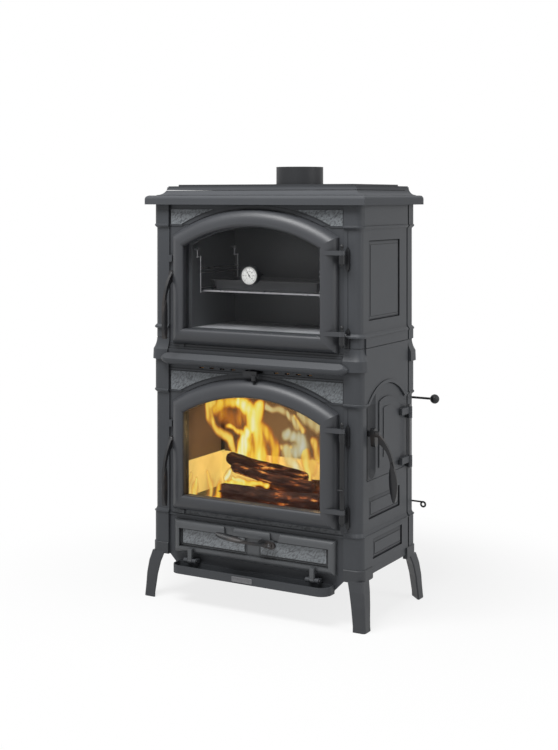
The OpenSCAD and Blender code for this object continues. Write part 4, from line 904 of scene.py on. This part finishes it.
def turned(name, profile, centre, finish, body, sides=48):
    """A turned piece: (radius, reach towards the back) pairs, from one end to the other."""
    x, y, z = centre
    loops = []
    for radius, reach in profile:
        loop = []
        for i in range(sides):
            angle = 2 * math.pi * i / sides
            across, rise = radius * math.cos(angle), radius * math.sin(angle)
            loop.append(at(x + across, y + reach, z + rise))
        loops.append(loop)
    add_skin(name, loops, finish, body)


turned(
    "dial_face", ((26.6, 0.0), (26.6, -0.5), (26.2, -0.7), (0.4, -0.7)),
    dial_centre, dial_white, "oven_door",
)

figures = ("0", "50", "100", "150", "200", "250", "300")
ticks_apart = 4
tick_count = ticks_apart * (len(figures) - 1) + 1
tick_from, tick_sweep = math.radians(225), math.radians(-270)
tick_outer, ink_low, ink_high = 24.5, -0.6, -0.95
long_inner, long_half = 17.5, 0.65
short_inner, short_half = 20.5, 0.35
box_faces = ((0, 1, 2, 3), (7, 6, 5, 4), (0, 4, 5, 1), (1, 5, 6, 2), (2, 6, 7, 3), (3, 7, 4, 0))

ticks = bmesh.new()
for i in range(tick_count):
    angle = tick_from + tick_sweep * i / (tick_count - 1)
    inner, half = (long_inner, long_half) if i % ticks_apart == 0 else (short_inner, short_half)
    way = Vector((math.cos(angle), 0, math.sin(angle)))
    cross = Vector((-math.sin(angle), 0, math.cos(angle)))
    corners = []
    for lift in (ink_low, ink_high):
        for reach, aside in (
            (inner, -half), (tick_outer, -half), (tick_outer, half), (inner, half)
        ):
            spot = way * reach + cross * aside
            corners.append(ticks.verts.new(at(dial_x + spot.x, dial_y + lift, dial_z + spot.z)))
    for face in box_faces:
        ticks.faces.new([corners[k] for k in face])
bmesh.ops.recalc_face_normals(ticks, faces=ticks.faces)
tick_mesh = bpy.data.meshes.new("dial_ticks")
ticks.to_mesh(tick_mesh)
ticks.free()
add_piece("dial_ticks", tick_mesh, dial_ink, "oven_door", smooth=False)

figure_reach, figure_lift = 12.6, 0.8
figure_size, figure_depth = 5.2 * MM, 0.12 * MM
for i, figure in enumerate(figures):
    curve = bpy.data.curves.new("dial_figure_" + figure, "FONT")
    curve.body = figure
    curve.size = figure_size
    curve.extrude = figure_depth
    curve.align_x = "CENTER"
    curve.align_y = "CENTER"
    holder = bpy.data.objects.new("holder", curve)
    figure_mesh = bpy.data.meshes.new_from_object(holder)
    bpy.data.objects.remove(holder)
    angle = tick_from + tick_sweep * i / (len(figures) - 1)
    across, rise = figure_reach * math.cos(angle), figure_reach * math.sin(angle)
    spot = at(dial_x + across, dial_y - figure_lift, dial_z + rise)
    upright = Matrix.Rotation(math.radians(90), 4, "X")
    figure_mesh.transform(Matrix.Translation(spot) @ upright)
    figure_mesh.materials.clear()
    add_piece("dial_figure_" + figure, figure_mesh, dial_ink, "oven_door", smooth=False)

lens = Finish("dial_lens", Specular_IOR_Level=0.5)
smear = lens.noise(30.0)
lens.wear(
    Base_Color=lens.blend(smear, (0.9, 0.9, 0.9), (0.95, 0.95, 0.95)),
    Roughness=smear * 0.05 + 0.03,
    Alpha=smear * 0.03 + 0.07,
)
turned(
    "dial_lens",
    ((26.4, -2.2), (26.4, -2.6), (24.0, -2.9), (16.0, -3.2), (8.0, -3.35), (0.4, -3.4)),
    dial_centre, lens, "oven_door",
)


# ---- Fasteners ---------------------------------------------------------------
# Slotted steel screws hold the levers on their studs. Hexagon nuts on the back
# walls close the bolts that clamp them to the sides.

screw_finish = Finish("screw_steel", Metallic=1.0)
scratch = screw_finish.noise(500.0, 3.0)
screw_finish.wear(
    Base_Color=screw_finish.blend(scratch, (0.05, 0.05, 0.052), (0.13, 0.13, 0.135)),
    Roughness=scratch * 0.2 + 0.32,
)
screw_sides = 32
slot_share, slot_depth = 0.16, 0.5
head_profile = ((1.0, 0.0), (1.0, 0.45), (0.86, 0.80), (0.55, 1.0), (0.05, 1.02))


def screw_head(name, centre, radius, height, body, axis="Y", sign=-1.0):
    """A domed screw head with a sawn slot; sign is the way it faces along the axis."""
    x, y, z = centre
    loops = []
    for share, rise in head_profile:
        loop = []
        for i in range(screw_sides):
            angle = 2 * math.pi * i / screw_sides
            a, b = radius * share * math.cos(angle), radius * share * math.sin(angle)
            drop = slot_depth if abs(b) < radius * slot_share and rise > 0.5 else 0.0
            reach = sign * height * (rise - drop)
            dx, dy = (a, reach) if axis == "Y" else (reach, a)
            loop.append(at(x + dx, y + dy, z + b))
        loops.append(loop)
    add_skin(name, loops, screw_finish, body, crisp=30)


screw_head("lever_screw_fire", (-287, -14.0, 498.5), 5.0, 2.6, "fire_handle")
screw_head("lever_screw_oven", (-287, -14.0, 1012.5), 5.0, 2.6, "oven_handle")
screw_head("lever_screw_ash", (68, -22.0, 213), 5.0, 2.4, "ash_handle")
screw_head("lever_screw_side", (389.4, 68, 558), 5.0, 2.4, "side_handle", "X", 1.0)

nut_y = 376.4
nut_profile = ((8.0, 0.0), (8.0, 4.6), (7.0, 5.4), (4.4, 5.4), (4.2, 7.5), (3.2, 8.2))
for level, z in (("low", 235), ("mid", 720), ("high", 1130)):
    for side, x in (("left", -300), ("right", 300)):
        name = f"nut_{level}_{side}"
        turned(name, nut_profile, (x, nut_y, z), screw_finish, "stove", sides=6)


# ---- Name plate --------------------------------------------------------------
# A small cast alloy plate with a rounded edge is fixed on the lip's front. Its
# brushed face is left bare.

plate_finish = Finish("plate_alloy", Metallic=0.6, Specular_IOR_Level=0.5)
brushed = plate_finish.noise(240.0, 4.0)
plate_finish.wear(
    Base_Color=plate_finish.blend(brushed, (0.10, 0.10, 0.105), (0.20, 0.20, 0.21)),
    Roughness=brushed * 0.2 + 0.35,
)
plate_x0, plate_x1, plate_z0, plate_z1, plate_corner = -47, 24, 97, 113, 3
plate_back = -44.0
plate_steps = ((0.0, -0.2), (0.0, 1.0), (0.6, 1.5), (1.4, 1.5), (1.8, 1.2))
plate_loops = []
for inset, rise in plate_steps:
    outline = round_box(
        plate_x0 + inset, plate_z0 + inset, plate_x1 - inset, plate_z1 - inset, plate_corner
    )
    plate_loops.append([at(x, plate_back - rise, z) for x, z in outline])
add_skin("name_plate", plate_loops, plate_finish, "stove")


# ---- Seals -------------------------------------------------------------------
# Braided glass-fibre rope, dark from soot. It is glued into a groove behind each
# door's rim.

rope = Finish("seal_rope", Roughness=0.95)
braid = rope.node(
    "ShaderNodeTexWave", {"bands_direction": "DIAGONAL"},
    {"Vector": rope.place, "Scale": 160.0, "Distortion": 1.5},
)["Fac"]
rope.wear(
    Base_Color=rope.blend(braid, (0.02, 0.02, 0.02), (0.07, 0.07, 0.07)),
    Normal=rope.bump(braid, 0.6, 0.8 * MM),
)
rope.cover("side_door_seal", "fire_door_seal", "oven_door_seal")


# ---- Door glass --------------------------------------------------------------
# Flat ceramic glass, clear with a faint grey cast. Steel clips hold it behind the
# rolled rims.

pane = Finish("door_glass", Specular_IOR_Level=0.4)
haze = pane.noise(3.0, 3.0)
pane.wear(
    Base_Color=pane.blend(haze, (0.02, 0.02, 0.022), (0.03, 0.03, 0.032)),
    Roughness=haze * 0.04 + 0.02,
    Alpha=haze * 0.04 + 0.08,
)
pane.cover("fire_door_glass", "oven_door_glass")
